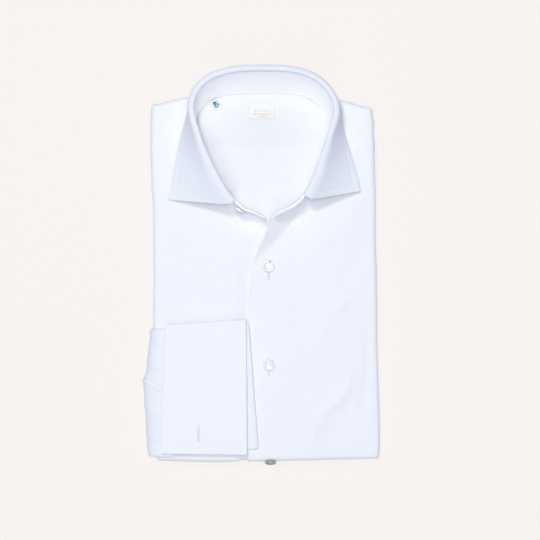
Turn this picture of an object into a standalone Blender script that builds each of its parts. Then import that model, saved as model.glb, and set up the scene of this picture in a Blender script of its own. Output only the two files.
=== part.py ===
"""A white long sleeve dress shirt, folded flat with its collar standing open at the neck.

+X points to the wearer's left, +Y from the bottom fold to the collar and +Z up from the
surface that the shirt lies on. Sizes are written in millimetres and become metres when a
mesh is made. The origin is at the centre of the shirt's box, on the surface.
"""

import math

import bmesh
import bpy
from mathutils import Vector

MM = 0.001

# Cloth and the gaps between the pieces.
WALL = 1.0
GAP = 0.3
PLACKET_WALL = 1.4
COLLAR_WALL = 1.6
CUFF_WALL = 1.0
CUFF_INSIDE = 0.7
SLEEVE_WALL = 2.6
LABEL_WALL = 0.8

# The bed is the smooth upper side of everything that is folded under the fronts.
BED_HEIGHT = 13.2
BED_RADIUS = 5.2
CROWN = 1.8
CORE_SLACK = 0.6
WRAP_END = math.radians(118.0)
WRAP_STEPS = 5
FRONT_OUT = GAP + WALL / 2
PLACKET_OUT = GAP + PLACKET_WALL / 2
SINK = WALL + GAP

# Plan of the folded body at its widest height.
LEFT_EDGE = (  # y, x
    (-182.0, -96.0), (-150.0, -98.2), (-60.0, -98.9), (52.0, -99.2), (88.0, -101.9), (148.0, -101.7),
)
RIGHT_EDGE = (  # y, x
    (-181.0, 108.2), (-165.0, 109.3), (-83.0, 107.6), (60.0, 105.2), (115.0, 103.8), (145.0, 101.9),
)
BOTTOM_EDGE = (  # x, y
    (-98.0, -180.6), (-46.0, -182.3), (-13.0, -181.4), (57.0, -180.2), (109.0, -179.2),
)
TOP_EDGE = (  # x, y
    (-102.0, 146.3), (-66.0, 155.2), (-40.0, 161.5), (0.0, 167.0), (40.0, 161.0), (67.0, 153.2), (102.0, 143.6),
)
EDGE_ROUND = BED_RADIUS + GAP + WALL

# Neckband, from the wearer's right end round the back to the left end. The foot stands on
# the body and the top carries the fall of the collar.
BAND = (  # foot x, foot y, top x, top y, top z
    (4.0, 41.4, 3.3, 42.3, 34.0),
    (-6.5, 46.2, -6.7, 47.2, 37.5),
    (-17.0, 50.0, -16.7, 51.2, 39.5),
    (-26.4, 56.2, -24.0, 58.5, 40.5),
    (-37.2, 67.2, -32.1, 70.2, 41.5),
    (-49.4, 88.2, -43.9, 92.0, 42.0),
    (-59.3, 113.5, -53.9, 116.5, 42.0),
    (-60.2, 136.5, -59.8, 140.1, 42.0),
    (-52.9, 147.2, -56.6, 156.4, 42.0),
    (-41.0, 154.2, -44.8, 168.6, 42.0),
    (-21.6, 157.4, -23.9, 175.0, 42.0),
    (0.5, 158.0, 0.6, 176.1, 42.0),
    (24.4, 157.9, 26.0, 175.0, 42.0),
    (42.8, 153.7, 45.9, 169.1, 42.0),
    (54.7, 144.9, 59.5, 156.4, 42.0),
    (63.0, 131.9, 65.0, 140.1, 42.0),
    (63.0, 113.5, 61.3, 120.1, 42.0),
    (57.4, 96.0, 55.0, 101.1, 42.0),
    (50.0, 79.5, 48.6, 82.9, 41.5),
    (39.8, 61.4, 39.0, 63.2, 41.0),
    (30.6, 52.6, 30.2, 54.2, 41.0),
    (21.4, 47.6, 21.0, 49.6, 40.8),
    (11.5, 43.4, 11.5, 45.6, 40.0),
)
BAND_STEPS = 2

# Free edge of the collar's fall, one row for each band row that carries it.
FALL_FIRST_ROW = 3
FALL_EDGE = (  # x, y, z
    (-85.9, 59.5, 17.4),
    (-82.7, 73.9, 17.4),
    (-78.5, 96.0, 17.3),
    (-73.4, 119.0, 17.0),
    (-66.7, 142.9, 16.8),
    (-62.6, 157.6, 14.5),
    (-50.6, 172.6, 6.0),
    (-26.4, 181.8, 3.5),
    (0.4, 183.2, 3.0),
    (28.2, 181.8, 3.5),
    (50.6, 173.0, 6.0),
    (65.2, 158.0, 14.5),
    (71.4, 141.1, 16.8),
    (77.0, 117.1, 17.4),
    (82.4, 99.6, 18.0),
    (87.2, 82.1, 19.0),
    (90.6, 67.2, 20.0),
)
ROLL_RADIUS = 2.3
ROLL_DROP = 1.0
FALL_BOW = math.radians(14.0)
FALL_EASE = math.radians(3.0)
FALL_HANDLES = (0.14, 0.40)

# Neck edge of the fronts: this far inside the band's foot, from the shoulder to the ends.
NECK_MARGIN = 1.4
SHOULDER_NECK_RIGHT = (-46.5, 151.0)
SHOULDER_NECK_LEFT = (48.5, 149.6)

# Lap of the fronts. The wearer's left front lies on top and its edge is the placket's edge.
LAP_EDGE = (  # y, x
    (-182.0, -12.6), (-51.0, -11.6), (-18.0, -10.6), (2.3, -7.8), (7.8, -4.8), (14.5, -2.2),
    (21.0, 1.2), (28.0, 4.2), (36.0, 7.0), (44.0, 9.6),
)
UNDER_EDGE = (  # y, x
    (-182.0, 16.0), (5.0, 16.0), (20.0, 13.0), (37.0, 7.6),
)
PLACKET_SIDE = 27.6
LIFT_FOOT = 2.3
LIFT_REACH = 43.0
LIFT_HEIGHT = 12.0
LIFT_FOLD_SLOPE = 0.84
SEAM_EASE = 0.25

# Inside of the back that shows in the neck.
YOKE_SEAM = 110.4
YOKE_SPAN = (-67.0, 69.5)
BACK_FOOT = 34.0

# Soft folds pressed into the fronts.
FOLDS = (  # x start, y start, x end, y end, half width, height
    (-84.0, 31.0, -26.0, -31.0, 12.0, 0.8),
    (76.0, -32.0, 56.0, -66.0, 11.0, 0.7),
    (80.0, -102.0, 48.0, -158.0, 11.0, 0.8),
    (-43.0, 50.0, -22.0, 26.0, 8.0, -0.5),
)

# Cuffs, each turned back on itself at its wearer's-hand side, and the sleeve that comes round.
CUFF_RIGHT = ((-92.0, -173.3), (-12.8, -174.5), (-13.7, -50.4), (-88.0, -55.9))
CUFF_LEFT = ((-70.3, -174.2), (-2.6, -168.8), (-11.4, -52.4), (-79.5, -58.3))
CUFF_BAND_SETBACK = 6.0
CUFF_CORNER = 1.3
CUFF_BASE = GAP + PLACKET_WALL + GAP
CUFF_DEPTH = 2 * CUFF_WALL + CUFF_INSIDE
SLEEVE_EDGE = (  # y, x
    (-177.0, -104.4), (-155.0, -106.5), (-122.0, -108.1), (-107.0, -109.1), (-99.0, -106.6), (-78.0, -104.5),
    (-59.0, -102.7),
)
SLEEVE_END = -81.0
SLEEVE_SPAN = (-176.5, -59.5)
SLEEVE_WRAP_END = math.radians(138.0)

# Buttons: four holes, sewn on the placket and on the band's right end.
BUTTON_RADIUS = 5.5
BUTTON_THICK = 2.2
BUTTON_HOLE_RADIUS = 0.8
BUTTON_HOLE_RING = 1.5
BUTTON_LINE = 6.6
BUTTON_TOP = -1.4
BUTTON_PITCH = 90.6
FOLD_BUTTON_TURN = math.radians(68.0)
BAND_BUTTON_ALONG = 2.2
BAND_BUTTON_UP = 0.62

LABEL_BOX = (-11.8, 133.8, 12.2, 148.5)
TAG_CENTRE = (-42.4, 147.2)
TAG_SIDE = 8.0

# Finishes: colour, roughness.
FINISHES = {
    "cotton": ((0.88, 0.90, 0.97, 1.0), 0.85),
    "collar_cotton": ((0.88, 0.90, 0.98, 1.0), 0.80),
    "pearl": ((0.82, 0.85, 0.88, 1.0), 0.25),
    "label_satin": ((0.94, 0.94, 0.95, 1.0), 0.60),
    "tag_blue": ((0.62, 0.78, 0.86, 1.0), 0.60),
}


# Small geometry helpers

def ease(amount):
    """Return 0 to 1 along a smooth step for an amount that is clamped to 0 to 1."""
    amount = min(max(amount, 0.0), 1.0)
    return amount * amount * (3.0 - 2.0 * amount)


def blend(start, end, amount):
    """Return the value part of the way from start to end."""
    return start + (end - start) * amount


def read_curve(rows, place):
    """Return the value at a place on the smooth line through rows of (place, value)."""
    if place <= rows[0][0]:
        return rows[0][1]
    if place >= rows[-1][0]:
        return rows[-1][1]
    index = max(k for k in range(len(rows) - 1) if rows[k][0] <= place)

    def slope(k):
        before = rows[max(k - 1, 0)]
        after = rows[min(k + 1, len(rows) - 1)]
        return (after[1] - before[1]) / (after[0] - before[0])

    (start, low), (end, high) = rows[index], rows[index + 1]
    span = end - start
    t = (place - start) / span
    hermite_low = (1 + 2 * t) * (1 - t) ** 2 * low + t * (1 - t) ** 2 * span * slope(index)
    hermite_high = t * t * (3 - 2 * t) * high + t * t * (t - 1) * span * slope(index + 1)
    return hermite_low + hermite_high


def smooth_path(points, steps):
    """Return a Catmull-Rom path through the points, with so many steps between each two."""
    path = []
    for k in range(len(points) - 1):
        before = points[max(k - 1, 0)]
        start, end = points[k], points[k + 1]
        after = points[min(k + 2, len(points) - 1)]
        for step in range(steps):
            t = step / steps
            path.append(0.5 * (2 * start + (end - before) * t
                               + (2 * before - 5 * start + 4 * end - after) * t * t
                               + (3 * start - before - 3 * end + after) * t ** 3))
    path.append(points[-1].copy())
    return path


def along_path(path, share):
    """Return the point at a share of the length of a path."""
    lengths = [0.0]
    for start, end in zip(path, path[1:]):
        lengths.append(lengths[-1] + (end - start).length)
    wanted = share * lengths[-1]
    for k in range(len(path) - 1):
        if wanted <= lengths[k + 1] or k == len(path) - 2:
            span = lengths[k + 1] - lengths[k]
            return path[k].lerp(path[k + 1], (wanted - lengths[k]) / span if span else 0.0)
    return path[-1].copy()


def distance_to_segment(x, y, x0, y0, x1, y1):
    """Return the distance to a segment and the share of the segment at its nearest point."""
    dx, dy = x1 - x0, y1 - y0
    share = ((x - x0) * dx + (y - y0) * dy) / (dx * dx + dy * dy)
    held = min(max(share, 0.0), 1.0)
    return math.hypot(x - x0 - held * dx, y - y0 - held * dy), held


# Heights of the bed and of what lies on it

def bed_height(x, y):
    """Return the height of the bed: nearly flat, a little fuller in the middle."""
    across = (x - 3.0) / 100.0
    up = (y + 8.0) / 172.0
    fullness = max(0.0, 1.0 - across ** 4) * max(0.0, 1.0 - up ** 6)
    wave = 0.25 * math.sin(x / 31.0 + 0.6) * math.cos(y / 47.0)
    return BED_HEIGHT + fullness * (CROWN + wave)


def fold_relief(x, y):
    """Return the height of the soft folds of the fronts."""
    relief = 0.0
    for x0, y0, x1, y1, half_width, height in FOLDS:
        distance, share = distance_to_segment(x, y, x0, y0, x1, y1)
        relief += height * math.exp(-(distance / half_width) ** 2) * (0.35 + 0.65 * math.sin(math.pi * share))
    return relief


def lap_lift(x, y):
    """Return how far the top of the upper front is raised by the band that it is sewn to."""
    up = (y - LIFT_FOOT) / LIFT_REACH
    if up <= 0.0:
        return 0.0
    edge = read_curve(LAP_EDGE, min(y, LAP_EDGE[-1][0]))
    fold = LAP_EDGE[3][1] + 5.0 + (y - LIFT_FOOT) * LIFT_FOLD_SLOPE
    share = min(max((fold - x) / (fold - edge), 0.0), 1.2)
    fade = 1.0 - ease((y - 55.0) / 30.0)
    return LIFT_HEIGHT * min(up, 1.15) ** 1.05 * share ** 1.15 * fade


def under_sink(x, y):
    """Return how far the under front sinks where the placket lies on it."""
    edge = read_curve(LAP_EDGE, min(y, LAP_EDGE[-1][0]))
    return SINK * ease((x - edge + 13.0) / 11.0)


def upper_relief(x, y):
    """Return the relief of the upper front."""
    return fold_relief(x, y) + lap_lift(x, y)


def under_relief(x, y):
    """Return the relief of the under front."""
    return fold_relief(x, y) - under_sink(x, y)


def panel_top(x, y):
    """Return the height of the cloth that the band stands on at a place round the neck."""
    shoulder = read_curve(TOP_EDGE, x) - 20.0
    if y > shoulder + 4.0 and SHOULDER_NECK_RIGHT[0] < x < SHOULDER_NECK_LEFT[0]:
        on_right = ease((SHOULDER_NECK_RIGHT[0] + 8.0 - x) / 4.5)
        on_left = ease((x - SHOULDER_NECK_LEFT[0] + 8.0) / 4.5)
        on_front = max(on_right, on_left)
        return bed_height(x, y) + on_front * (GAP + WALL)
    relief = upper_relief(x, y) if x > BAND[0][0] else under_relief(x, y)
    wall = PLACKET_WALL if 0.0 < x - BAND[0][0] < PLACKET_SIDE and y < 70.0 else WALL
    return bed_height(x, y) + GAP + wall + max(relief, 0.0 if x > BAND[0][0] else -SINK)


def skin_point(base, over_x, over_y, out):
    """Return a point of a cloth that follows the bed and then turns down over its edges.

    base is the plan point, held inside the bed's edges. over_x and over_y run from 0 to
    1 (with a sign) round the side and the end edges, and out is the distance off the bed.
    """
    height = bed_height(base.x, base.y)
    amount = max(abs(over_x), abs(over_y))
    if amount == 0.0:
        return Vector((base.x, base.y, height + out))
    away = Vector((over_x, over_y)).normalized()
    turn = amount * WRAP_END
    radius = BED_RADIUS + out
    reach = radius * math.sin(turn)
    drop = height - BED_RADIUS + radius * math.cos(turn)
    return Vector((base.x + away.x * reach, base.y + away.y * reach, drop))


# Meshes

def make_material(name):
    """Return the material of a finish, made once."""
    material = bpy.data.materials.get(name)
    if material:
        return material
    colour, roughness = FINISHES[name]
    material = bpy.data.materials.new(name)
    material.use_nodes = True
    shader = material.node_tree.nodes["Principled BSDF"]
    shader.inputs["Base Color"].default_value = colour
    shader.inputs["Roughness"].default_value = roughness
    shader.inputs["Metallic"].default_value = 0.0
    material.diffuse_color = colour
    return material


def make_object(name, points, faces, finish):
    """Return a closed, smooth-shaded object from points in millimetres."""
    mesh = bpy.data.meshes.new(name)
    build = bmesh.new()
    corners = [build.verts.new(point * MM) for point in points]
    for face in faces:
        build.faces.new([corners[k] for k in face])
    bmesh.ops.recalc_face_normals(build, faces=build.faces)
    build.to_mesh(mesh)
    build.free()
    mesh.shade_smooth()
    mesh.set_sharp_from_angle(angle=math.radians(40.0))
    mesh.materials.append(make_material(finish))
    thing = bpy.data.objects.new(name, mesh)
    bpy.context.collection.objects.link(thing)
    return thing


def grid_normals(grid):
    """Return the unit normal at each point of a grid of points."""
    rows, columns = len(grid), len(grid[0])
    normals = []
    for i in range(rows):
        line = []
        for j in range(columns):
            along = grid[min(i + 1, rows - 1)][j] - grid[max(i - 1, 0)][j]
            across = grid[i][min(j + 1, columns - 1)] - grid[i][max(j - 1, 0)]
            line.append(along.cross(across).normalized())
        normals.append(line)
    return normals


def make_wall(name, grid, wall, finish):
    """Return a cloth wall whose middle is a grid of points.

    wall is the thickness, or a function of the row and column that returns it.
    """
    rows, columns = len(grid), len(grid[0])
    normals = grid_normals(grid)
    thickness = wall if callable(wall) else (lambda i, j: wall)
    points = []
    for side in (0.5, -0.5):
        for i in range(rows):
            for j in range(columns):
                points.append(grid[i][j] + normals[i][j] * side * thickness(i, j))
    layer = rows * columns
    faces = []
    for i in range(rows - 1):
        for j in range(columns - 1):
            corner = i * columns + j
            quad = (corner, corner + 1, corner + columns + 1, corner + columns)
            faces.append(quad)
            faces.append(tuple(k + layer for k in reversed(quad)))
    rim = [j for j in range(columns)]
    rim += [i * columns + columns - 1 for i in range(1, rows)]
    rim += [(rows - 1) * columns + j for j in range(columns - 2, -1, -1)]
    rim += [i * columns for i in range(rows - 2, 0, -1)]
    for start, end in zip(rim, rim[1:] + rim[:1]):
        faces.append((start, end, end + layer, start + layer))
    return make_object(name, points, faces, finish)


# Plan curves of the body, held inside its rounded edges

def inside_left(y):
    return Vector((read_curve(LEFT_EDGE, y) + EDGE_ROUND, y))


def inside_right(y):
    return Vector((read_curve(RIGHT_EDGE, y) - EDGE_ROUND, y))


def inside_bottom(x):
    return Vector((x, read_curve(BOTTOM_EDGE, x) + EDGE_ROUND))


def inside_top(x):
    return Vector((x, read_curve(TOP_EDGE, x) - EDGE_ROUND))


def corner_of(side, end):
    """Return the plan point where a side curve and an end curve cross."""
    y = end(0.0).y
    for _ in range(6):
        x = side(y).x
        y = end(x).y
    return Vector((x, y))


def coons(left, right, bottom, top):
    """Return the plan function of a patch bounded by four functions of a share 0 to 1."""
    def place(s, t):
        ruled_up = bottom(s).lerp(top(s), t)
        ruled_across = left(t).lerp(right(t), s)
        corners = bottom(0.0).lerp(bottom(1.0), s).lerp(top(0.0).lerp(top(1.0), s), t)
        return ruled_up + ruled_across - corners
    return place


def wrapped_axis(steps, wrap_low, wrap_high):
    """Return (share, over) pairs along a patch, with the steps that turn over its edges."""
    axis = []
    if wrap_low:
        axis += [(0.0, -k / WRAP_STEPS) for k in range(WRAP_STEPS, 0, -1)]
    axis += [(k / steps, 0.0) for k in range(steps + 1)]
    if wrap_high:
        axis += [(1.0, k / WRAP_STEPS) for k in range(1, WRAP_STEPS + 1)]
    return axis


def patch_grid(place, across, up, out, relief):
    """Return the grid of a cloth that follows the bed over a plan patch."""
    grid = []
    for t, over_y in up:
        row = []
        for s, over_x in across:
            base = place(s, t)
            row.append(skin_point(base, over_x, over_y, out + relief(base.x, base.y)))
        grid.append(row)
    return grid


# Pieces of the body

def lap_hollow(x, y, margin):
    """Return how far the layers under the lap's end sink, over an area that margin widens."""
    across = ease((x + 58.0 + margin) / 14.0) * ease((60.0 + margin - x) / 16.0)
    return SINK * across * ease((62.0 + margin - y) / 16.0)


def core_sink(x, y, room):
    """Return how far the core lies under the bed, for its room inside the body's edges."""
    at_neck = ease((88.0 - abs(x - 1.0)) / 14.0) * ease((y - 80.0) / 20.0)
    at_lap = ease((x + 42.0) / 14.0) * ease((34.0 - x) / 14.0) * ease(-y / 40.0)
    inside = ease(room / 22.0)
    return SINK * max(at_neck, at_lap, inside) + inside * (lap_hollow(x, y, 18.0) + CORE_SLACK)


def make_core():
    """Return the folded layers under the fronts: one rounded solid, layered at its edges."""
    def place(s, t):
        base = Vector((blend(-92.0, 99.0, s), 0.0))
        for _ in range(3):
            base.y = blend(inside_bottom(base.x).y, inside_top(base.x).y, t)
            base.x = blend(inside_left(base.y).x, inside_right(base.y).x, s)
        return base

    # Reach beyond the bed's edge and height of the layers' rims, downward.
    lips = ((3.2, 4.7), (5.3, 4.0), (5.3, 2.8), (3.6, 2.3), (5.0, 1.6), (4.4, 0.0))
    across = wrapped_axis(14, True, True)
    up = wrapped_axis(20, True, True)
    points = []
    for t, over_y in up:
        for s, over_x in across:
            base = place(s, t)
            room = min(200.0 * min(s, 1.0 - s), 330.0 * min(t, 1.0 - t))
            points.append(skin_point(base, over_x, over_y, -core_sink(base.x, base.y, room)))
    columns, rows = len(across), len(up)
    faces = []
    for i in range(rows - 1):
        for j in range(columns - 1):
            corner = i * columns + j
            faces.append((corner, corner + 1, corner + columns + 1, corner + columns))
    border = [(0, j) for j in range(columns)]
    border += [(i, columns - 1) for i in range(1, rows)]
    border += [(rows - 1, j) for j in range(columns - 2, -1, -1)]
    border += [(i, 0) for i in range(rows - 2, 0, -1)]
    ring = [i * columns + j for i, j in border]
    for reach, height in lips:
        next_ring = []
        for i, j in border:
            (t, over_y), (s, over_x) = up[i], across[j]
            base = place(s, t)
            away = Vector((over_x, over_y)).normalized() * reach
            next_ring.append(len(points))
            points.append(Vector((base.x + away.x, base.y + away.y, height)))
        for k in range(len(ring)):
            follow = (k + 1) % len(ring)
            faces.append((ring[k], ring[follow], next_ring[follow], next_ring[k]))
        ring = next_ring
    faces.append(tuple(ring))
    return make_object("folded_core", points, faces, "cotton")


def neck_path(first, last):
    """Return the fronts' neck edge between two band rows, set inside the band's foot."""
    feet = [Vector((row[0], row[1])) for row in BAND]
    centre = Vector((2.0, 105.0))
    path = []
    step = 1 if last >= first else -1
    for k in range(first, last + step, step):
        along = feet[min(k + 1, len(feet) - 1)] - feet[max(k - 1, 0)]
        normal = Vector((-along.y, along.x)).normalized()
        if normal.dot(centre - feet[k]) < 0.0:
            normal.negate()
        path.append(feet[k] + normal * NECK_MARGIN)
    return path


def make_front_right():
    """Return the wearer's right front, which lies under the lap."""
    low = corner_of(inside_left, inside_bottom)
    high = corner_of(inside_left, inside_top)
    foot = inside_bottom(UNDER_EDGE[0][1])
    neck_end = Vector(SHOULDER_NECK_RIGHT)
    lap = [Vector((read_curve(UNDER_EDGE, y), y)) for y in (foot.y, -120.0, -60.0, 5.0, 20.0, 34.0)]
    inner = smooth_path(lap + neck_path(0, 7) + [neck_end], 4)
    shoulder = inside_top(neck_end.x)

    def left(t):
        return inside_left(blend(low.y, high.y, t))

    def right(t):
        return along_path(inner + [shoulder], t)

    def bottom(s):
        return inside_bottom(blend(low.x, foot.x, s))

    def top(s):
        return inside_top(blend(high.x, shoulder.x, s))

    place = coons(left, right, bottom, top)
    grid = patch_grid(place, wrapped_axis(9, True, False), wrapped_axis(20, True, True), FRONT_OUT, under_relief)
    return make_wall("front_right", grid, WALL, "cotton")


def make_front_left():
    """Return the wearer's left front, from the placket to its side and over the shoulder."""
    low = corner_of(inside_right, inside_bottom)
    high = corner_of(inside_right, inside_top)
    seam = PLACKET_SIDE + GAP
    foot = inside_bottom(seam)
    neck_end = Vector(SHOULDER_NECK_LEFT)
    neck = neck_path(20, 15)
    neck[0] = Vector((seam + 1.5, neck[0].y + 0.6))
    lift_start = Vector((seam + SEAM_EASE, 38.0))
    seam_line = [Vector((seam, y)) for y in (foot.y, -120.0, -60.0, 0.0)] + [lift_start]
    inner = smooth_path(seam_line + neck + [neck_end], 4)
    shoulder = inside_top(neck_end.x)

    def left(t):
        return along_path(inner + [shoulder], t)

    def right(t):
        return inside_right(blend(low.y, high.y, t))

    def bottom(s):
        return inside_bottom(blend(foot.x, low.x, s))

    def top(s):
        return inside_top(blend(shoulder.x, high.x, s))

    place = coons(left, right, bottom, top)
    grid = patch_grid(place, wrapped_axis(9, False, True), wrapped_axis(20, True, True), FRONT_OUT, upper_relief)
    return make_wall("front_left", grid, WALL, "cotton")


def make_placket():
    """Return the wearer's left front's doubled edge, which carries the buttonholes."""
    foot_left = inside_bottom(LAP_EDGE[0][1])
    foot_right = inside_bottom(PLACKET_SIDE)
    neck = neck_path(22, 20)
    neck[0] = Vector((LAP_EDGE[-1][1], LAP_EDGE[-1][0] + 0.6))
    neck[-1] = Vector((PLACKET_SIDE + 1.1, neck[-1].y))
    neck = smooth_path(neck, 4)
    edge_heights = [foot_left.y, -120.0, -60.0, -18.0] + [row[0] for row in LAP_EDGE[3:-1]]
    edge = smooth_path([Vector((read_curve(LAP_EDGE, y), y)) for y in edge_heights] + [neck[0]], 3)
    side = smooth_path([foot_right, Vector((PLACKET_SIDE, -60.0)), Vector((PLACKET_SIDE, 38.0)), neck[-1]], 4)

    def up(share):
        """Crowd the rows toward the neck, where the lap is lifted."""
        return 1.0 - (1.0 - share) ** 1.5

    place = coons(lambda t: along_path(edge, up(t)), lambda t: along_path(side, up(t)),
                  lambda s: foot_left.lerp(foot_right, s), lambda s: along_path(neck, s))
    grid = patch_grid(place, wrapped_axis(6, False, False), wrapped_axis(24, True, False), PLACKET_OUT, upper_relief)
    return make_wall("front_placket", grid, PLACKET_WALL, "cotton")


def make_yoke():
    """Return the yoke, whose inner side shows at the back of the neck."""
    grid = []
    for i in range(8):
        row = []
        for j in range(15):
            x = blend(YOKE_SPAN[0], YOKE_SPAN[1], j / 14)
            y = blend(YOKE_SEAM + GAP / 2, inside_top(x).y - 0.6, i / 7)
            row.append(Vector((x, y, bed_height(x, y) - WALL / 2)))
        grid.append(row)
    return make_wall("yoke", grid, WALL, "cotton")


def make_back():
    """Return the inside of the back below the yoke, as far as the neck shows it."""
    grid = []
    for i in range(9):
        row = []
        for j in range(15):
            x = blend(YOKE_SPAN[0], YOKE_SPAN[1], j / 14)
            y = blend(BACK_FOOT, YOKE_SEAM - GAP / 2, i / 8)
            row.append(Vector((x, y, bed_height(x, y) - WALL / 2 - lap_hollow(x, y, 0.0))))
        grid.append(row)
    return make_wall("back_panel", grid, WALL, "cotton")


# Collar

def band_paths():
    """Return the smooth foot and top paths of the band."""
    feet = [Vector((row[0], row[1], 0.0)) for row in BAND]
    tops = [Vector(row[2:5]) for row in BAND]
    feet = smooth_path(feet, BAND_STEPS)
    tops = smooth_path(tops, BAND_STEPS)
    lean = COLLAR_WALL / 2 * 0.6
    for foot in feet:
        foot.z = panel_top(foot.x, foot.y) + GAP + lean
    return feet, tops


def band_point(foot, top, share):
    """Return a point part of the way up the band, which bows out a little."""
    upper = top - (top - foot).normalized() * (ROLL_DROP + GAP)
    point = foot.lerp(upper, share)
    away = Vector((point.x - 2.0, point.y - 105.0, 0.0)).normalized()
    return point + away * 0.7 * math.sin(math.pi * share)


def make_band():
    """Return the neckband."""
    feet, tops = band_paths()
    grid = []
    for k, (foot, top) in enumerate(zip(feet, tops)):
        ends = min(k, len(feet) - 1 - k)
        cut = {0: 0.78, 1: 0.95}.get(ends, 1.0)
        start = {0: 0.10, 1: 0.02}.get(ends, 0.0)
        grid.append([band_point(foot, top, blend(start, cut, step / 4)) for step in range(5)])
    return make_wall("collar_stand", grid, COLLAR_WALL, "collar_cotton")


def make_fall():
    """Return the collar's fall: it rolls over the band's top and comes down to its points."""
    feet, tops = band_paths()
    first = FALL_FIRST_ROW * BAND_STEPS
    edge = smooth_path([Vector(row) for row in FALL_EDGE], BAND_STEPS)
    grid = []
    for k, free in enumerate(edge):
        top = tops[first + k]
        along = tops[first + k + 1] - tops[first + k - 1]
        normal = Vector((-along.y, along.x, 0.0)).normalized()
        if normal.dot(Vector((top.x - 2.0, top.y - 105.0, 0.0))) < 0.0:
            normal.negate()
        row = [top - (top - feet[first + k]).normalized() * ROLL_DROP]
        run = free - top - normal * 2.0 * ROLL_RADIUS
        steep = math.atan2(-run.z, math.hypot(run.x, run.y))
        bow = FALL_BOW * math.sin(2.0 * steep)
        low = steep - FALL_EASE * math.sin(2.0 * steep)
        last_turn = math.pi / 2 + steep - bow
        for step in range(5):
            turn = last_turn * step / 4
            row.append(top + normal * ROLL_RADIUS * (1.0 - math.cos(turn))
                       + Vector((0.0, 0.0, ROLL_RADIUS * math.sin(turn))))
        start = row.pop()
        run = free - start
        flat = Vector((run.x, run.y, 0.0)).normalized()
        near, far = (run.length * share for share in FALL_HANDLES)
        leave = flat * 0.8 + normal * 0.2
        pull = start + leave * near * math.cos(steep - bow) - Vector((0.0, 0.0, near * math.sin(steep - bow)))
        rest = free - flat * far * math.cos(low) + Vector((0.0, 0.0, far * math.sin(low)))
        for step in range(8):
            t = step / 7
            row.append((1 - t) ** 3 * start + 3 * t * (1 - t) ** 2 * pull
                       + 3 * t * t * (1 - t) * rest + t ** 3 * free)
        grid.append(row)
    return make_wall("collar_fall", grid, COLLAR_WALL, "collar_cotton")


# Sleeve and cuffs

def make_cuff(name, corners, base):
    """Return a cuff turned back on itself: its band, the fold at its hand side and its leaf."""
    low_left, low_right, high_right, high_left = (Vector(corner) for corner in corners)
    height = (high_left - low_left).length
    fold_radius = (CUFF_WALL + CUFF_INSIDE) / 2
    rows = [0.0, 0.010, 0.03] + [k / 7 for k in range(1, 7)] + [0.97, 0.990, 1.0]
    steps = 6
    grid = []
    for share in rows:
        left = low_left.lerp(high_left, share)
        right = low_right.lerp(high_right, share)
        from_end = min(share, 1.0 - share) * height
        pull_in = CUFF_CORNER - math.sqrt(max(0.0, CUFF_CORNER ** 2 - max(0.0, CUFF_CORNER - from_end) ** 2))
        away = (right - left).normalized()
        right = right - away * (pull_in + CUFF_WALL / 2 + fold_radius)
        band_left = left + away * CUFF_BAND_SETBACK
        leaf_left = left + away * pull_in * 0.5
        row = []
        for step in range(steps + 1):
            plan = band_left.lerp(right, step / steps)
            low = bed_height(plan.x, plan.y) + base + CUFF_WALL / 2
            row.append(Vector((plan.x, plan.y, low)))
        for turn in (45.0, 90.0, 135.0):
            angle = math.radians(turn)
            plan = right + away * fold_radius * math.sin(angle)
            low = bed_height(right.x, right.y) + base + CUFF_WALL / 2
            row.append(Vector((plan.x, plan.y, low + fold_radius * (1.0 - math.cos(angle)))))
        for step in range(steps, -1, -1):
            plan = leaf_left.lerp(right, step / steps)
            low = bed_height(plan.x, plan.y) + base + CUFF_WALL / 2
            row.append(Vector((plan.x, plan.y, low + 2 * fold_radius)))
        grid.append(row)
    return make_wall(name, grid, CUFF_WALL, "cotton")


def make_sleeve():
    """Return the pressed sleeve that comes round the side from below and ends in the cuff."""
    out = GAP + WALL + GAP + SLEEVE_WALL / 2
    rows = [0.0, 0.012, 0.035] + [k / 10 for k in range(1, 10)] + [0.965, 0.988, 1.0]
    narrow = {0: 0.35, 1: 0.8, len(rows) - 2: 0.8, len(rows) - 1: 0.35}
    grid = []
    for share in rows:
        y = blend(SLEEVE_SPAN[0], SLEEVE_SPAN[1], share)
        start = inside_left(y)
        height = bed_height(start.x, y)
        row = []
        for step in range(4):
            x = blend(SLEEVE_END, start.x, step / 4)
            row.append(Vector((x, y, bed_height(x, y) + out)))
        reach = start.x - read_curve(SLEEVE_EDGE, y) - SLEEVE_WALL / 2
        for step in range(9):
            turn = step / 8 * SLEEVE_WRAP_END
            row.append(Vector((start.x - reach * math.sin(turn), y,
                               height - BED_RADIUS + (BED_RADIUS + out) * math.cos(turn))))
        grid.append(row)
    return make_wall("sleeve_right", grid, lambda i, j: SLEEVE_WALL * narrow.get(i, 1.0), "cotton")


# Buttons, label and tag

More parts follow.
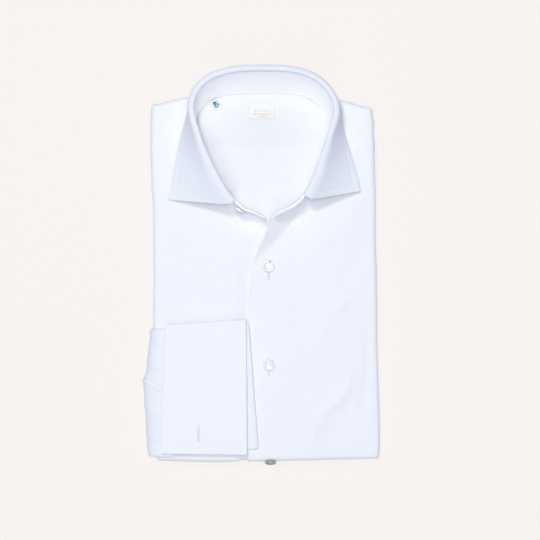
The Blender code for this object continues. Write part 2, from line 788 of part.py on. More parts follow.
def button_mesh():
    """Return the mesh of a turned four-hole button that stands on its own origin."""
    profile = (  # radius, height
        (0.0, 1.1), (3.0, 1.1), (3.9, BUTTON_THICK), (4.8, BUTTON_THICK),
        (BUTTON_RADIUS, 1.2), (4.3, 0.0), (0.0, 0.0),
    )
    build = bmesh.new()
    chain = [build.verts.new((radius * MM, 0.0, height * MM)) for radius, height in profile]
    edges = [build.edges.new(pair) for pair in zip(chain, chain[1:])]
    bmesh.ops.spin(build, geom=chain + edges, cent=(0, 0, 0), axis=(0, 0, 1), angle=math.tau, steps=12)
    bmesh.ops.remove_doubles(build, verts=build.verts, dist=1e-6)
    bmesh.ops.recalc_face_normals(build, faces=build.faces)
    solid = bpy.data.meshes.new("button")
    build.to_mesh(solid)
    build.free()

    drills = bmesh.new()
    for k in range(4):
        angle = math.radians(45.0 + 90.0 * k)
        made = bmesh.ops.create_cone(drills, cap_ends=True, segments=6, radius1=BUTTON_HOLE_RADIUS * MM,
                                     radius2=BUTTON_HOLE_RADIUS * MM, depth=4 * BUTTON_THICK * MM)
        shift = Vector((math.cos(angle), math.sin(angle), 0.0)) * BUTTON_HOLE_RING * MM
        bmesh.ops.translate(drills, verts=made["verts"], vec=shift)
    drill_mesh = bpy.data.meshes.new("button_drills")
    drills.to_mesh(drill_mesh)
    drills.free()

    blank = bpy.data.objects.new("button_blank", solid)
    drill = bpy.data.objects.new("button_drill", drill_mesh)
    for thing in (blank, drill):
        bpy.context.collection.objects.link(thing)
    cut = blank.modifiers.new("holes", "BOOLEAN")
    cut.operation = "DIFFERENCE"
    cut.object = drill
    bpy.context.view_layer.update()
    drilled = bpy.data.meshes.new_from_object(blank.evaluated_get(bpy.context.evaluated_depsgraph_get()))
    bpy.data.objects.remove(blank)
    bpy.data.objects.remove(drill)
    drilled.shade_smooth()
    drilled.set_sharp_from_angle(angle=math.radians(35.0))
    drilled.materials.clear()
    drilled.materials.append(make_material("pearl"))
    return drilled


def place_button(name, mesh, foot, facing):
    """Place a button with its back at a point and its front turned to face a direction."""
    button = bpy.data.objects.new(name, mesh)
    button.location = foot * MM
    button.rotation_mode = "QUATERNION"
    button.rotation_quaternion = Vector((0.0, 0.0, 1.0)).rotation_difference(facing)
    bpy.context.collection.objects.link(button)
    return button


def make_buttons():
    """Place the placket's three buttons and the band's one."""
    mesh = button_mesh()
    top_of_placket = PLACKET_OUT + PLACKET_WALL / 2 + GAP
    for number, (x, y) in enumerate(((BUTTON_LINE, BUTTON_TOP), (BUTTON_LINE + 0.3, BUTTON_TOP - BUTTON_PITCH)), 1):
        foot = Vector((x, y, bed_height(x, y) + top_of_placket + 0.1 + upper_relief(x, y)))
        place_button(f"button_{number}", mesh, foot, Vector((0.0, 0.0, 1.0)))

    inner = inside_bottom(BUTTON_LINE + 1.7)
    radius = BED_RADIUS + top_of_placket + 0.1
    facing = Vector((0.0, -math.sin(FOLD_BUTTON_TURN), math.cos(FOLD_BUTTON_TURN)))
    centre = Vector((inner.x, inner.y, bed_height(inner.x, inner.y) - BED_RADIUS))
    place_button("button_3", mesh, centre + facing * radius, facing)

    feet, tops = band_paths()
    index = int(BAND_BUTTON_ALONG * BAND_STEPS)
    share = BAND_BUTTON_ALONG * BAND_STEPS - index
    foot = feet[index].lerp(feet[index + 1], share)
    top = tops[index].lerp(tops[index + 1], share)
    low = band_point(foot, top, BAND_BUTTON_UP - 0.15)
    high = band_point(foot, top, BAND_BUTTON_UP + 0.15)
    beside = band_point(feet[index + 1], tops[index + 1], BAND_BUTTON_UP)
    before = band_point(feet[index], tops[index], BAND_BUTTON_UP)
    facing = (high - low).cross(beside - before).normalized()
    if facing.y > 0.0:
        facing.negate()
    foot = (low + high) / 2 + facing * (COLLAR_WALL / 2 + GAP + 0.5)
    place_button("button_collar", mesh, foot, facing)


def make_label():
    """Return the woven label at the back of the neck."""
    x0, y0, x1, y1 = LABEL_BOX
    grid = []
    for i in range(4):
        row = []
        for j in range(5):
            x, y = blend(x0, x1, j / 4), blend(y0, y1, i / 3)
            row.append(Vector((x, y, bed_height(x, y) + GAP + LABEL_WALL / 2)))
        grid.append(row)
    return make_wall("neck_label", grid, LABEL_WALL, "label_satin")


def make_tag():
    """Return the small size tag, sewn in cornerwise beside the label."""
    half = TAG_SIDE / math.sqrt(2.0)
    grid = []
    for i in range(3):
        row = []
        for j in range(3):
            across, up = j / 2 - 0.5, i / 2 - 0.5
            x = TAG_CENTRE[0] + (across - up) * half
            y = TAG_CENTRE[1] + (across + up) * half
            row.append(Vector((x, y, bed_height(x, y) + GAP + LABEL_WALL / 2)))
        grid.append(row)
    return make_wall("size_tag", grid, LABEL_WALL, "tag_blue")


def centre_on_origin():
    """Move every piece so that the shirt's box is centred over the origin."""
    bpy.context.view_layer.update()
    things = [thing for thing in bpy.data.objects if thing.type == "MESH"]
    corners = [thing.matrix_world @ corner.co for thing in things for corner in thing.data.vertices]
    middle = Vector(((max(c.x for c in corners) + min(c.x for c in corners)) / 2,
                     (max(c.y for c in corners) + min(c.y for c in corners)) / 2,
                     min(c.z for c in corners)))
    shirt = bpy.data.objects.new("shirt", None)
    bpy.context.collection.objects.link(shirt)
    shirt.location = -middle
    for thing in things:
        thing.parent = shirt


def main():
    """Build the shirt in an empty scene."""
    for thing in list(bpy.data.objects):
        bpy.data.objects.remove(thing)
    make_core()
    make_front_right()
    make_front_left()
    make_placket()
    make_yoke()
    make_back()
    make_band()
    make_fall()
    make_cuff("cuff_left", CUFF_LEFT, CUFF_BASE)
    make_cuff("cuff_right", CUFF_RIGHT, CUFF_BASE + CUFF_DEPTH + GAP)
    make_sleeve()
    make_buttons()
    make_label()
    make_tag()
    centre_on_origin()


main()
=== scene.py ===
"""Dresses a folded white dress shirt: cloth, seams, stitching, buttons, labels and studio.

The shirt lies flat with its collar standing. Sizes are in millimetres in the drafting
frame, whose +X points to the wearer's left, +Y to the collar and +Z up, and every mesh is
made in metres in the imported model's own frame.
"""

from __future__ import annotations

import logging
import math
from dataclasses import dataclass, field
from enum import Enum
from typing import Callable, Iterable, Sequence

import bmesh
import bpy
from mathutils import Matrix, Vector, noise

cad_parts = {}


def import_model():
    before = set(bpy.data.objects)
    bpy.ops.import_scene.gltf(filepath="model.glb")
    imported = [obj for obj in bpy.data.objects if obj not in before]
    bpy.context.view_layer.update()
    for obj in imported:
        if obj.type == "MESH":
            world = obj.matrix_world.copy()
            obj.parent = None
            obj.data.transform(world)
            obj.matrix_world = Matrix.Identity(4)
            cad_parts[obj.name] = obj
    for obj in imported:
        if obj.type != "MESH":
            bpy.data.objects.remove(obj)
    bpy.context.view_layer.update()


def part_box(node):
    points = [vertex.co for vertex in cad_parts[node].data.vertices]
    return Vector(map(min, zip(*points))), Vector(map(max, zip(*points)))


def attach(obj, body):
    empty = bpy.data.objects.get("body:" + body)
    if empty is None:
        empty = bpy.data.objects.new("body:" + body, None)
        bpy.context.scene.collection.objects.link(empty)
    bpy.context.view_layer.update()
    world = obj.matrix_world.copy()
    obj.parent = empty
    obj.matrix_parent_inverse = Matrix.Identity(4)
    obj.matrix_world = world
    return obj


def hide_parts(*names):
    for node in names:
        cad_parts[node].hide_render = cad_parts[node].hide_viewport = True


LOG = logging.getLogger("dress_shirt")
MM = 0.001

Row = tuple[float, ...]
Grid = list[list[Vector]]
Line = list[tuple[Vector, Vector]]  # points on a cloth, each with its normal
Level = Callable[[float, float], float]  # a height for each plan place

# A wave texture's bands at scale 1 are this far apart, in metres.
WAVE_PERIOD = 0.31416


# Small helpers


def ease(amount: float) -> float:
    """Return 0 to 1 along a smooth step, for an amount that is clamped to 0 to 1."""
    amount = min(max(amount, 0.0), 1.0)
    return amount * amount * (3.0 - 2.0 * amount)


def blend(start: float, end: float, amount: float) -> float:
    """Return the value part of the way from start to end."""
    return start + (end - start) * amount


def bell(distance: float, half_width: float) -> float:
    """Return a smooth bump of height 1 that fades out past its half width."""
    return math.exp(-((distance / half_width) ** 2))


def uneven(x: float, y: float, height: float, across: float, along: float, seed: float) -> float:
    """Return a soft unevenness of a height, with lumps about so long across and along."""
    return height * noise.noise(Vector((x / across, y / along, seed)))


def read_curve(rows: Sequence[Row], place: float) -> float:
    """Read a smooth line through rows of (place, value).

    Args:
        rows: The line's points, in rising order of place.
        place: Where to read it.

    Returns:
        The value at that place, held at the first and last rows.
    """
    if place <= rows[0][0]:
        return rows[0][1]
    if place >= rows[-1][0]:
        return rows[-1][1]
    index = max(k for k in range(len(rows) - 1) if rows[k][0] <= place)

    def slope(k: int) -> float:
        """Return the slope at a row."""
        before = rows[max(k - 1, 0)]
        after = rows[min(k + 1, len(rows) - 1)]
        return (after[1] - before[1]) / (after[0] - before[0])

    (start, low), (end, high) = rows[index][:2], rows[index + 1][:2]
    span = end - start
    t = (place - start) / span
    near = (1 + 2 * t) * (1 - t) ** 2 * low + t * (1 - t) ** 2 * span * slope(index)
    far = t * t * (3 - 2 * t) * high + t * t * (t - 1) * span * slope(index + 1)
    return near + far


def spline_at(points: Sequence[Vector], place: float) -> Vector:
    """Return the point of a Catmull-Rom spline at a place counted in its own points."""
    last = len(points) - 1
    place = min(max(place, 0.0), float(last))
    k = min(int(place), last - 1)
    t = place - k
    before, start = points[max(k - 1, 0)], points[k]
    end, after = points[k + 1], points[min(k + 2, last)]
    return 0.5 * (
        2 * start
        + (end - before) * t
        + (2 * before - 5 * start + 4 * end - after) * t * t
        + (3 * start - before - 3 * end + after) * t**3
    )


def spline_path(points: Sequence[Vector], steps: int) -> list[Vector]:
    """Return points along a Catmull-Rom spline, so many to each of its spans."""
    spans = len(points) - 1
    return [spline_at(points, k / steps) for k in range(spans * steps + 1)]


def lengths_of(path: Sequence[Vector]) -> list[float]:
    """Return the length along a path at each of its points."""
    lengths = [0.0]
    for start, end in zip(path, path[1:]):
        lengths.append(lengths[-1] + (end - start).length)
    return lengths


def resample(path: Sequence[Vector], distances: Sequence[float]) -> list[Vector]:
    """Return the points of a path at rising distances along it."""
    lengths = lengths_of(path)
    found = []
    k = 0
    for distance in distances:
        wanted = min(max(distance, 0.0), lengths[-1])
        while k < len(path) - 2 and lengths[k + 1] < wanted:
            k += 1
        span = lengths[k + 1] - lengths[k]
        found.append(path[k].lerp(path[k + 1], (wanted - lengths[k]) / span if span else 0.0))
    return found


def shares(path: Sequence[Vector], steps: Sequence[float]) -> list[Vector]:
    """Return the points of a path at rising shares of its length."""
    total = lengths_of(path)[-1]
    return resample(path, [share * total for share in steps])


def even(count: int) -> list[float]:
    """Return shares from 0 to 1 in so many equal steps."""
    return [k / count for k in range(count + 1)]


def crowded(length: float, marks: Sequence[float], pitch: float) -> list[float]:
    """Return distances along a length, close together at both ends and about a pitch apart.

    Args:
        length: The whole length.
        marks: Distances from either end that get a line of their own.
        pitch: The spacing between the marked ends.

    Returns:
        Rising distances from 0 to the length.
    """
    inner = marks[-1]
    steps = max(2, round((length - 2 * inner) / pitch))
    middle = [inner + (length - 2 * inner) * k / steps for k in range(1, steps)]
    return list(marks) + middle + [length - mark for mark in reversed(marks)]


def srgb(code: str) -> tuple[float, float, float, float]:
    """Return the linear colour, with alpha 1, of an sRGB hex code."""
    channels = []
    for k in (0, 2, 4):
        value = int(code[k : k + 2], 16) / 255.0
        channels.append(value / 12.92 if value <= 0.04045 else ((value + 0.055) / 1.055) ** 2.4)
    return channels[0], channels[1], channels[2], 1.0


# Finishes


def add_node(
    tree: bpy.types.NodeTree, kind: str, settings: dict[str, object], links: dict[str, object]
) -> bpy.types.Node:
    """Add a node with its settings and links.

    An input goes by its name, or by its number where several inputs share a name.

    Args:
        tree: The node tree that it goes in.
        kind: Blender's name for the node type.
        settings: Values by property name, or by input where no property has that name.
        links: Output sockets by the input that each one feeds.

    Returns:
        The new node.
    """
    node = tree.nodes.new(kind)

    def socket(name: str) -> bpy.types.NodeSocket:
        """Return one of the node's inputs."""
        return node.inputs[int(name) if name.isdigit() else name]

    for name, value in settings.items():
        if hasattr(node, name):
            setattr(node, name, value)
        else:
            socket(name).default_value = value
    for name, source in links.items():
        tree.links.new(source, socket(name))
    return node


def new_material(name: str, values: dict[str, object]) -> tuple[bpy.types.Material, bpy.types.NodeTree]:
    """Return a new material with its Principled shader's own sockets set, and its tree."""
    material = bpy.data.materials.new(name)
    material.use_nodes = True
    shader = material.node_tree.nodes["Principled BSDF"]
    for socket, value in values.items():
        shader.inputs[socket].default_value = value
    return material, material.node_tree


def shaded(colour: Sequence[float]) -> Row:
    """Return a linear colour a little darker, as between threads."""
    return tuple(0.95 * value for value in colour[:3]) + (1.0,)


@dataclass(frozen=True)
class Cotton:
    """White cotton poplin, woven from fine bright yarn and pressed.

    The eye sees an even matt white with a faint cool cast, a soft sheen at low angles and,
    close to, the fine ribs of the weave and a little unevenness where the cloth is soft.
    """

    name: str
    colour: str
    shade: str
    roughness: float = 0.82
    sheen: float = 0.18
    # The real yarns are 0.15 mm apart. They are drawn coarser so that they can show.
    rib: float = 0.95
    rib_depth: float = 0.05
    slub: float = 9.0
    slub_depth: float = 0.22
    # Painted light: the cloth glows a little by itself, to lighten it where it stands up in shade.
    glow: float = 0.0

    def material(self) -> bpy.types.Material:
        """Return the cloth's material, on the piece's own UV map, which is in metres."""
        material, tree = new_material(
            self.name,
            {
                "Roughness": self.roughness,
                "Sheen Weight": self.sheen,
                "Sheen Roughness": 0.45,
                "IOR": 1.46,
                "Specular IOR Level": 0.25,
                "Emission Color": srgb(self.colour),
                "Emission Strength": self.glow,
            },
        )
        place = add_node(tree, "ShaderNodeTexCoord", {}, {}).outputs["UV"]
        ribs = []
        for direction in ("X", "Y"):
            settings = {
                "bands_direction": direction,
                "Scale": WAVE_PERIOD / (self.rib * MM),
                "Distortion": 0.6,
                "Detail": 1.0,
            }
            ribs.append(add_node(tree, "ShaderNodeTexWave", settings, {"Vector": place}).outputs["Fac"])
        weave = add_node(tree, "ShaderNodeMath", {"operation": "MULTIPLY"}, {"0": ribs[0], "1": ribs[1]})
        settings = {"Scale": 1.0 / (self.slub * MM), "Detail": 3.0, "Roughness": 0.55}
        slub = add_node(tree, "ShaderNodeTexNoise", settings, {"Vector": place}).outputs["Fac"]
        settings = {"data_type": "RGBA", "6": srgb(self.colour), "7": srgb(self.shade)}
        tint = add_node(tree, "ShaderNodeMix", settings, {"0": slub})
        tree.links.new(tint.outputs[2], tree.nodes["Principled BSDF"].inputs["Base Color"])
        settings = {"Strength": 0.35, "Distance": self.slub_depth * MM}
        soft = add_node(tree, "ShaderNodeBump", settings, {"Height": slub})
        settings = {"Strength": 0.5, "Distance": self.rib_depth * MM}
        sockets = {"Height": weave.outputs[0], "Normal": soft.outputs["Normal"]}
        fine = add_node(tree, "ShaderNodeBump", settings, sockets)
        tree.links.new(fine.outputs["Normal"], tree.nodes["Principled BSDF"].inputs["Normal"])
        return material


@dataclass(frozen=True)
class Pearl:
    """Trochus shell, turned and polished: milky, glossy, with faint grey and blue layers."""

    name: str
    # Below 1, a darker copy of the shell's colours: painted shade.
    depth: float = 1.0
    # The layers lie about 4 mm apart and wander, so that each button shows a few of them.
    layers: float = 240.0
    stops: tuple[tuple[float, str], ...] = (
        (0.22, "6F93BE"), (0.34, "C9D6DF"), (0.44, "E6ECF0"), (0.62, "F7F9FA"),
    )

    def material(self) -> bpy.types.Material:
        """Return the shell's material, banded in layers."""
        gloss = {"Roughness": 0.22, "IOR": 1.53, "Coat Weight": 0.5, "Coat Roughness": 0.06}
        material, tree = new_material(self.name, gloss)
        place = add_node(tree, "ShaderNodeTexCoord", {}, {}).outputs["Object"]
        settings = {"Scale": self.layers, "Detail": 4.0, "Distortion": 1.6}
        layers = add_node(tree, "ShaderNodeTexNoise", settings, {"Vector": place})
        ramp = add_node(tree, "ShaderNodeValToRGB", {}, {"Fac": layers.outputs["Fac"]})
        found = ramp.color_ramp.elements
        for position, colour in self.stops:
            stop = found.new(position)
            stop.color = tuple(value * self.depth for value in srgb(colour)[:3]) + (1.0,)
        found.remove(found[-1])
        found.remove(found[0])
        tree.links.new(ramp.outputs["Color"], tree.nodes["Principled BSDF"].inputs["Base Color"])
        return material


@dataclass(frozen=True)
class Satin:
    """Woven satin ribbon, as on labels: smooth, with a soft shine and a fine cross rib."""

    name: str
    colour: str
    rib: float = 0.5
    rib_depth: float = 0.05

    def material(self) -> bpy.types.Material:
        """Return the ribbon's material, ribbed along its length."""
        shine = {"Roughness": 0.45, "Sheen Weight": 0.3, "IOR": 1.5, "Specular IOR Level": 0.4}
        material, tree = new_material(self.name, shine)
        place = add_node(tree, "ShaderNodeTexCoord", {}, {}).outputs["Object"]
        settings = {"bands_direction": "Y", "Scale": WAVE_PERIOD / (self.rib * MM)}
        rib = add_node(tree, "ShaderNodeTexWave", settings, {"Vector": place}).outputs["Fac"]
        settings = {"data_type": "RGBA", "6": srgb(self.colour), "7": shaded(srgb(self.colour))}
        tint = add_node(tree, "ShaderNodeMix", settings, {"0": rib})
        tree.links.new(tint.outputs[2], tree.nodes["Principled BSDF"].inputs["Base Color"])
        settings = {"Strength": 0.4, "Distance": self.rib_depth * MM}
        bump = add_node(tree, "ShaderNodeBump", settings, {"Height": rib})
        tree.links.new(bump.outputs["Normal"], tree.nodes["Principled BSDF"].inputs["Normal"])
        return material


@dataclass(frozen=True)
class Yarn:
    """Sewing or woven-in thread: twisted, slightly shiny, brighter along its top."""

    name: str
    colour: str
    twist: float = 0.5

    def material(self) -> bpy.types.Material:
        """Return the thread's material, with its twist."""
        material, tree = new_material(self.name, {"Roughness": 0.55, "Sheen Weight": 0.2})
        place = add_node(tree, "ShaderNodeTexCoord", {}, {}).outputs["Object"]
        settings = {"bands_direction": "DIAGONAL", "Scale": WAVE_PERIOD / (self.twist * MM)}
        twist = add_node(tree, "ShaderNodeTexWave", settings, {"Vector": place}).outputs["Fac"]
        settings = {"data_type": "RGBA", "6": srgb(self.colour), "7": shaded(srgb(self.colour))}
        tint = add_node(tree, "ShaderNodeMix", settings, {"0": twist})
        tree.links.new(tint.outputs[2], tree.nodes["Principled BSDF"].inputs["Base Color"])
        return material


class Dye(Enum):
    """The finishes of the shirt, and darker or glowing copies of its poplin that paint in shade and
    light, each made once.
    """

    BODY = Cotton("cotton_poplin_body", "F2F4F9", "EDF0F7")
    COLLAR = Cotton("cotton_poplin_fused", "F2F4FB", "EEF1F9", roughness=0.78, slub_depth=0.12)
    # A darker copy of the poplin: painted shade, for the collar's sloping leaves, the lower cuff and the
    # sleeve.
    FALL = Cotton("painted_shade_poplin", "ECEFF8", "E8ECF6", sheen=0.04, slub_depth=0.12)
    # A brighter copy of the poplin that glows by itself: painted light on the band's steep faces.
    BAND = Cotton("painted_light_poplin_band", "F9FAFC", "F6F8FC", roughness=0.85, slub_depth=0.12, glow=0.08)
    # Darker copies of the poplin for inside the neck: painted shade under the collar.
    INNER = Cotton("painted_shade_poplin_inner", "E9EBF1", "E7E9EF", roughness=0.85)
    YOKE = Cotton("painted_shade_poplin_yoke", "E7E9EF", "E4E6ED", roughness=0.85)
    SHELL = Pearl("trochus_shell")
    # A darker copy of the shell: painted shade, for the button turned down at the bottom fold.
    SHELL_RIM = Pearl("trochus_shell_painted_shade", 0.42)
    RIBBON = Satin("satin_ribbon_white", "E7E7EC")
    TAG = Satin("satin_ribbon_blue", "D3E3F0")
    GOLD = Yarn("gold_thread", "D8D0B8")
    INK = Yarn("navy_thread", "28456B")
    THREAD = Yarn("white_sewing_thread", "F8FAFC")
    HOLE = Yarn("shaded_thread", "F4F6FA")

    def get(self) -> bpy.types.Material:
        """Return this finish's material, made at its first use."""
        return bpy.data.materials.get(self.value.name) or self.value.material()


# The draft: plan, heights and creases


@dataclass(frozen=True)
class Crease:
    """A soft ridge, or a trough where its height is below 0, along a bowed line."""

    x0: float
    y0: float
    x1: float
    y1: float
    half_width: float
    height: float
    bow: float = 0.0
    steep: float = 1.0

    def relief(self, x: float, y: float) -> float:
        """Return the crease's height at a place, 0 where it is far away."""
        along_x, along_y = self.x1 - self.x0, self.y1 - self.y0
        length = math.hypot(along_x, along_y)
        along_x, along_y = along_x / length, along_y / length
        share = ((x - self.x0) * along_x + (y - self.y0) * along_y) / length
        if share < -0.35 or share > 1.35:
            return 0.0
        side = (x - self.x0) * -along_y + (y - self.y0) * along_x
        side -= self.bow * 4.0 * share * (1.0 - share)
        width = self.half_width * (self.steep if side < 0.0 else 1.0)
        if abs(side) > 3.0 * width:
            return 0.0
        fade = ease((share + 0.35) / 0.55) * ease((1.35 - share) / 0.55)
        return self.height * bell(side, width) * fade


@dataclass
class Draft:
    """The folded body's plan, the heights of what is under the fronts, and their creases."""

    wall: float = 1.0
    gap: float = 0.3
    placket_wall: float = 1.4
    # The layers folded under the fronts: their top, rounded edge, crown and extent.
    bed_height: float = 13.2
    bed_radius: float = 5.2
    crown: float = 1.8
    bed_middle: Row = (3.0, -8.0)
    bed_half: Row = (100.0, 172.0)
    # How the fronts turn over the edge: how far, how squarely, and how round at corners.
    wrap_end: float = math.radians(112.0)
    squareness: float = 0.72
    corner_power: float = 3.6
    left_edge: tuple[Row, ...] = (
        (-182.0, -96.0), (-150.0, -98.2), (-60.0, -99.7), (52.0, -99.9), (88.0, -101.9),
        (148.0, -101.7),
    )
    right_edge: tuple[Row, ...] = (
        (-181.0, 108.2), (-165.0, 109.3), (-83.0, 107.6), (60.0, 105.2), (115.0, 103.8),
        (145.0, 101.9),
    )
    bottom_edge: tuple[Row, ...] = (
        (-98.0, -180.6), (-46.0, -182.3), (-13.0, -181.4), (57.0, -180.2), (109.0, -179.2),
    )
    top_edge: tuple[Row, ...] = (
        (-102.0, 146.3), (-66.0, 155.2), (-40.0, 161.5), (0.0, 167.0),
        (40.0, 161.0), (67.0, 153.2), (102.0, 143.6),
    )
    lap_edge: tuple[Row, ...] = (
        (-182.0, -12.6), (-51.0, -11.6), (-18.0, -10.6), (2.3, -7.8), (7.8, -4.8), (14.5, -2.2),
        (21.0, 1.2), (28.0, 4.2), (36.0, 7.0), (44.0, 9.6),
    )
    under_edge: tuple[Row, ...] = ((-182.0, 16.0), (5.0, 16.0), (20.0, 13.0), (37.0, 7.6))
    placket_side: float = 27.6
    # The lap's lift toward the neck: where it starts, its length, height, fold and end.
    lift_foot: float = 2.3
    lift_reach: float = 43.0
    lift_height: float = 12.0
    lift_fold_slope: float = 0.84
    lift_fold_width: float = 5.0
    lift_fade: Row = (55.0, 30.0)
    # Where the under front starts to sink before the lap's edge, and over what width.
    under_start: float = 13.0
    under_reach: float = 11.0
    # Where the hollow under the lap's end starts and over what length: right, left and top.
    hollow: tuple[Row, Row, Row] = ((-58.0, 14.0), (60.0, 16.0), (62.0, 16.0))
    yoke_seam: float = 108.9
    yoke_span: Row = (-67.0, 69.5)
    back_foot: float = 34.0
    label_box: Row = (-11.8, 133.8, 12.2, 148.5)
    shift: Vector = field(default_factory=lambda: Vector((0.0, 0.0, 0.0)))
    folds: tuple[Crease, ...] = (
        # The main folds, as the solids have them.
        Crease(-84.0, 31.0, -26.0, -31.0, 12.0, 0.75),
        Crease(76.0, -32.0, 56.0, -66.0, 11.0, 0.65),
        Crease(80.0, -102.0, 48.0, -158.0, 11.0, 0.7),
        Crease(-43.0, 50.0, -22.0, 26.0, 7.0, -0.45),
    )
    creases: tuple[Crease, ...] = (
        # Right front: folds from the collar point, the shoulder and the side.
        Crease(-44.0, 56.0, -24.0, 37.0, 3.2, -1.1, 2.0, 0.6),
        Crease(-30.0, 44.0, -8.0, 22.0, 5.0, 0.7, -2.0),
        Crease(-93.0, 126.0, -80.0, 139.0, 4.5, 0.9, 2.0, 0.7),
        Crease(-96.0, 104.0, -80.0, 118.0, 6.0, 0.8, -2.0),
        Crease(-95.0, 70.0, -70.0, 28.0, 8.0, 0.8, 5.0),
        Crease(-62.0, 24.0, -30.0, -22.0, 6.0, -0.8, -4.0, 0.7),
        Crease(-90.0, 2.0, -66.0, -28.0, 7.0, 0.6, 3.0),
        Crease(-40.0, 12.0, -20.0, -16.0, 5.0, 0.5, 2.0),
        # Left front: the bands below the collar point and beside the placket.
        Crease(73.0, 134.0, 81.0, 142.0, 3.2, 1.0, 1.0, 0.7),
        Crease(76.0, 118.0, 96.0, 132.0, 4.0, 0.9, -2.0),
        Crease(84.0, 100.0, 98.0, 112.0, 5.0, 0.7, 2.0),
        Crease(92.0, 62.0, 40.0, 8.0, 9.0, 0.8, 6.0),
        Crease(76.0, -34.0, 57.0, -47.0, 4.5, 0.95, 2.0, 0.5),
        Crease(57.0, -44.0, 56.0, -74.0, 4.5, 0.8, -1.5),
        Crease(62.0, -38.0, 44.0, -62.0, 7.0, -0.6, 2.0),
        Crease(82.0, -104.0, 66.0, -130.0, 4.8, 1.05, 2.5, 0.5),
        Crease(68.0, -124.0, 46.0, -158.0, 5.2, 0.95, -3.0),
        Crease(84.0, -130.0, 62.0, -160.0, 8.0, -0.6, -3.0),
        Crease(48.0, -148.0, 46.0, -172.0, 4.0, 0.6, 1.0),
        Crease(97.0, -60.0, 91.0, -132.0, 5.0, -0.8, 3.0, 0.7),
        Crease(96.0, 30.0, 70.0, -20.0, 9.0, -0.7, 4.0),
        Crease(36.0, 40.0, 60.0, 24.0, 5.0, 0.8, -2.0, 0.6),
    )

    @property
    def edge_round(self) -> float:
        """Return the radius at which the fronts turn over the body's edge."""
        return self.bed_radius + self.gap + self.wall

    @property
    def sink(self) -> float:
        """Return how deep one layer of cloth sinks with its gap."""
        return self.wall + self.gap

    def to_frame(self, point: Vector) -> Vector:
        """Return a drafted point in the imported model's frame, in metres."""
        return (point + self.shift) * MM

    def put(self, point: Vector) -> Matrix:
        """Return the matrix that puts a shape drawn in millimetres at a drafted point."""
        return Matrix.Translation(self.to_frame(point)) @ Matrix.Scale(MM, 4)

    def bed(self, x: float, y: float) -> float:
        """Return the height of the layers that are folded under the fronts."""
        across = (x - self.bed_middle[0]) / self.bed_half[0]
        up = (y - self.bed_middle[1]) / self.bed_half[1]
        fullness = max(0.0, 1.0 - across**4) * max(0.0, 1.0 - up**6)
        wave = 0.25 * math.sin(x / 31.0 + 0.6) * math.cos(y / 47.0)
        return self.bed_height + fullness * (self.crown + wave)

    def soft_relief(self, x: float, y: float) -> float:
        """Return the relief of the fronts' folds, creases and slight unevenness."""
        relief = sum(crease.relief(x, y) for crease in self.folds)
        relief += sum(crease.relief(x, y) for crease in self.creases)
        relief += uneven(x, y, 0.40, 34.0, 52.0, 3.1)
        return relief + uneven(x, y, 0.10, 11.0, 17.0, 8.4)

    def lap_lift(self, x: float, y: float) -> float:
        """Return how far the upper front is raised by the band that it is sewn to."""
        up = (y - self.lift_foot) / self.lift_reach
        if up <= 0.0:
            return 0.0
        edge = read_curve(self.lap_edge, min(y, self.lap_edge[-1][0]))
        fold = self.lap_edge[3][1] + self.lift_fold_width + (y - self.lift_foot) * self.lift_fold_slope
        share = min(max((fold - x) / (fold - edge), 0.0), 1.2)
        fade = 1.0 - ease((y - self.lift_fade[0]) / self.lift_fade[1])
        return self.lift_height * min(up, 1.15) ** 1.05 * share**1.15 * fade

    def under_sink(self, x: float, y: float) -> float:
        """Return how far the under front sinks where the placket lies on it."""
        edge = read_curve(self.lap_edge, min(y, self.lap_edge[-1][0]))
        return self.sink * ease((x - edge + self.under_start) / self.under_reach)

    def lap_hollow(self, x: float, y: float) -> float:
        """Return how far the back sinks under the end of the lap."""
        right, left, top = self.hollow
        across = ease((x - right[0]) / right[1]) * ease((left[0] - x) / left[1])
        return self.sink * across * ease((top[0] - y) / top[1])

    def upper_relief(self, x: float, y: float) -> float:
        """Return the relief of the upper front and its placket."""
        return self.soft_relief(x, y) + self.lap_lift(x, y)

    def under_relief(self, x: float, y: float) -> float:
        """Return the relief of the under front."""
        return self.soft_relief(x, y) - self.under_sink(x, y)

    def skin_point(self, base: Vector, over: Row, out: float) -> Vector:
        """Return a point of a cloth that follows the bed and turns down over its edges.

        Args:
            base: The plan point, inside the body's rounded edges.
            over: How far round the side and the end edge it is, each -1 to 1.
            out: The distance off the bed.
        """
        height = self.bed(base.x, base.y)
        amount = max(abs(over[0]), abs(over[1]))
        if amount == 0.0:
            return Vector((base.x, base.y, height + out))
        power = self.corner_power
        away = Vector(over) / (abs(over[0]) ** power + abs(over[1]) ** power) ** (1.0 / power)
        side, up = self.fold_profile(amount * self.wrap_end)
        radius = self.bed_radius + out
        reach = radius * side
        level = height - self.bed_radius + radius * up
        return Vector((base.x + away.x * reach, base.y + away.y * reach, level))

    def fold_profile(self, turn: float) -> tuple[float, float]:
        """Return how far out and up a pressed fold is at an angle, squarer than a circle."""
        up = math.cos(turn)
        return math.sin(turn) ** self.squareness, math.copysign(abs(up) ** self.squareness, up)

    def inside_left(self, y: float) -> Vector:
        """Return the plan point where the cloth starts to turn over the right side."""
        return Vector((read_curve(self.left_edge, y) + self.edge_round, y))

    def inside_right(self, y: float) -> Vector:
        """Return the plan point where the cloth starts to turn over the left side."""
        return Vector((read_curve(self.right_edge, y) - self.edge_round, y))

    def inside_bottom(self, x: float) -> Vector:
        """Return the plan point where the cloth starts to turn over the bottom fold."""
        return Vector((x, read_curve(self.bottom_edge, x) + self.edge_round))

    def inside_top(self, x: float) -> Vector:
        """Return the plan point where the cloth starts to turn over the shoulders."""
        return Vector((x, read_curve(self.top_edge, x) - self.edge_round))

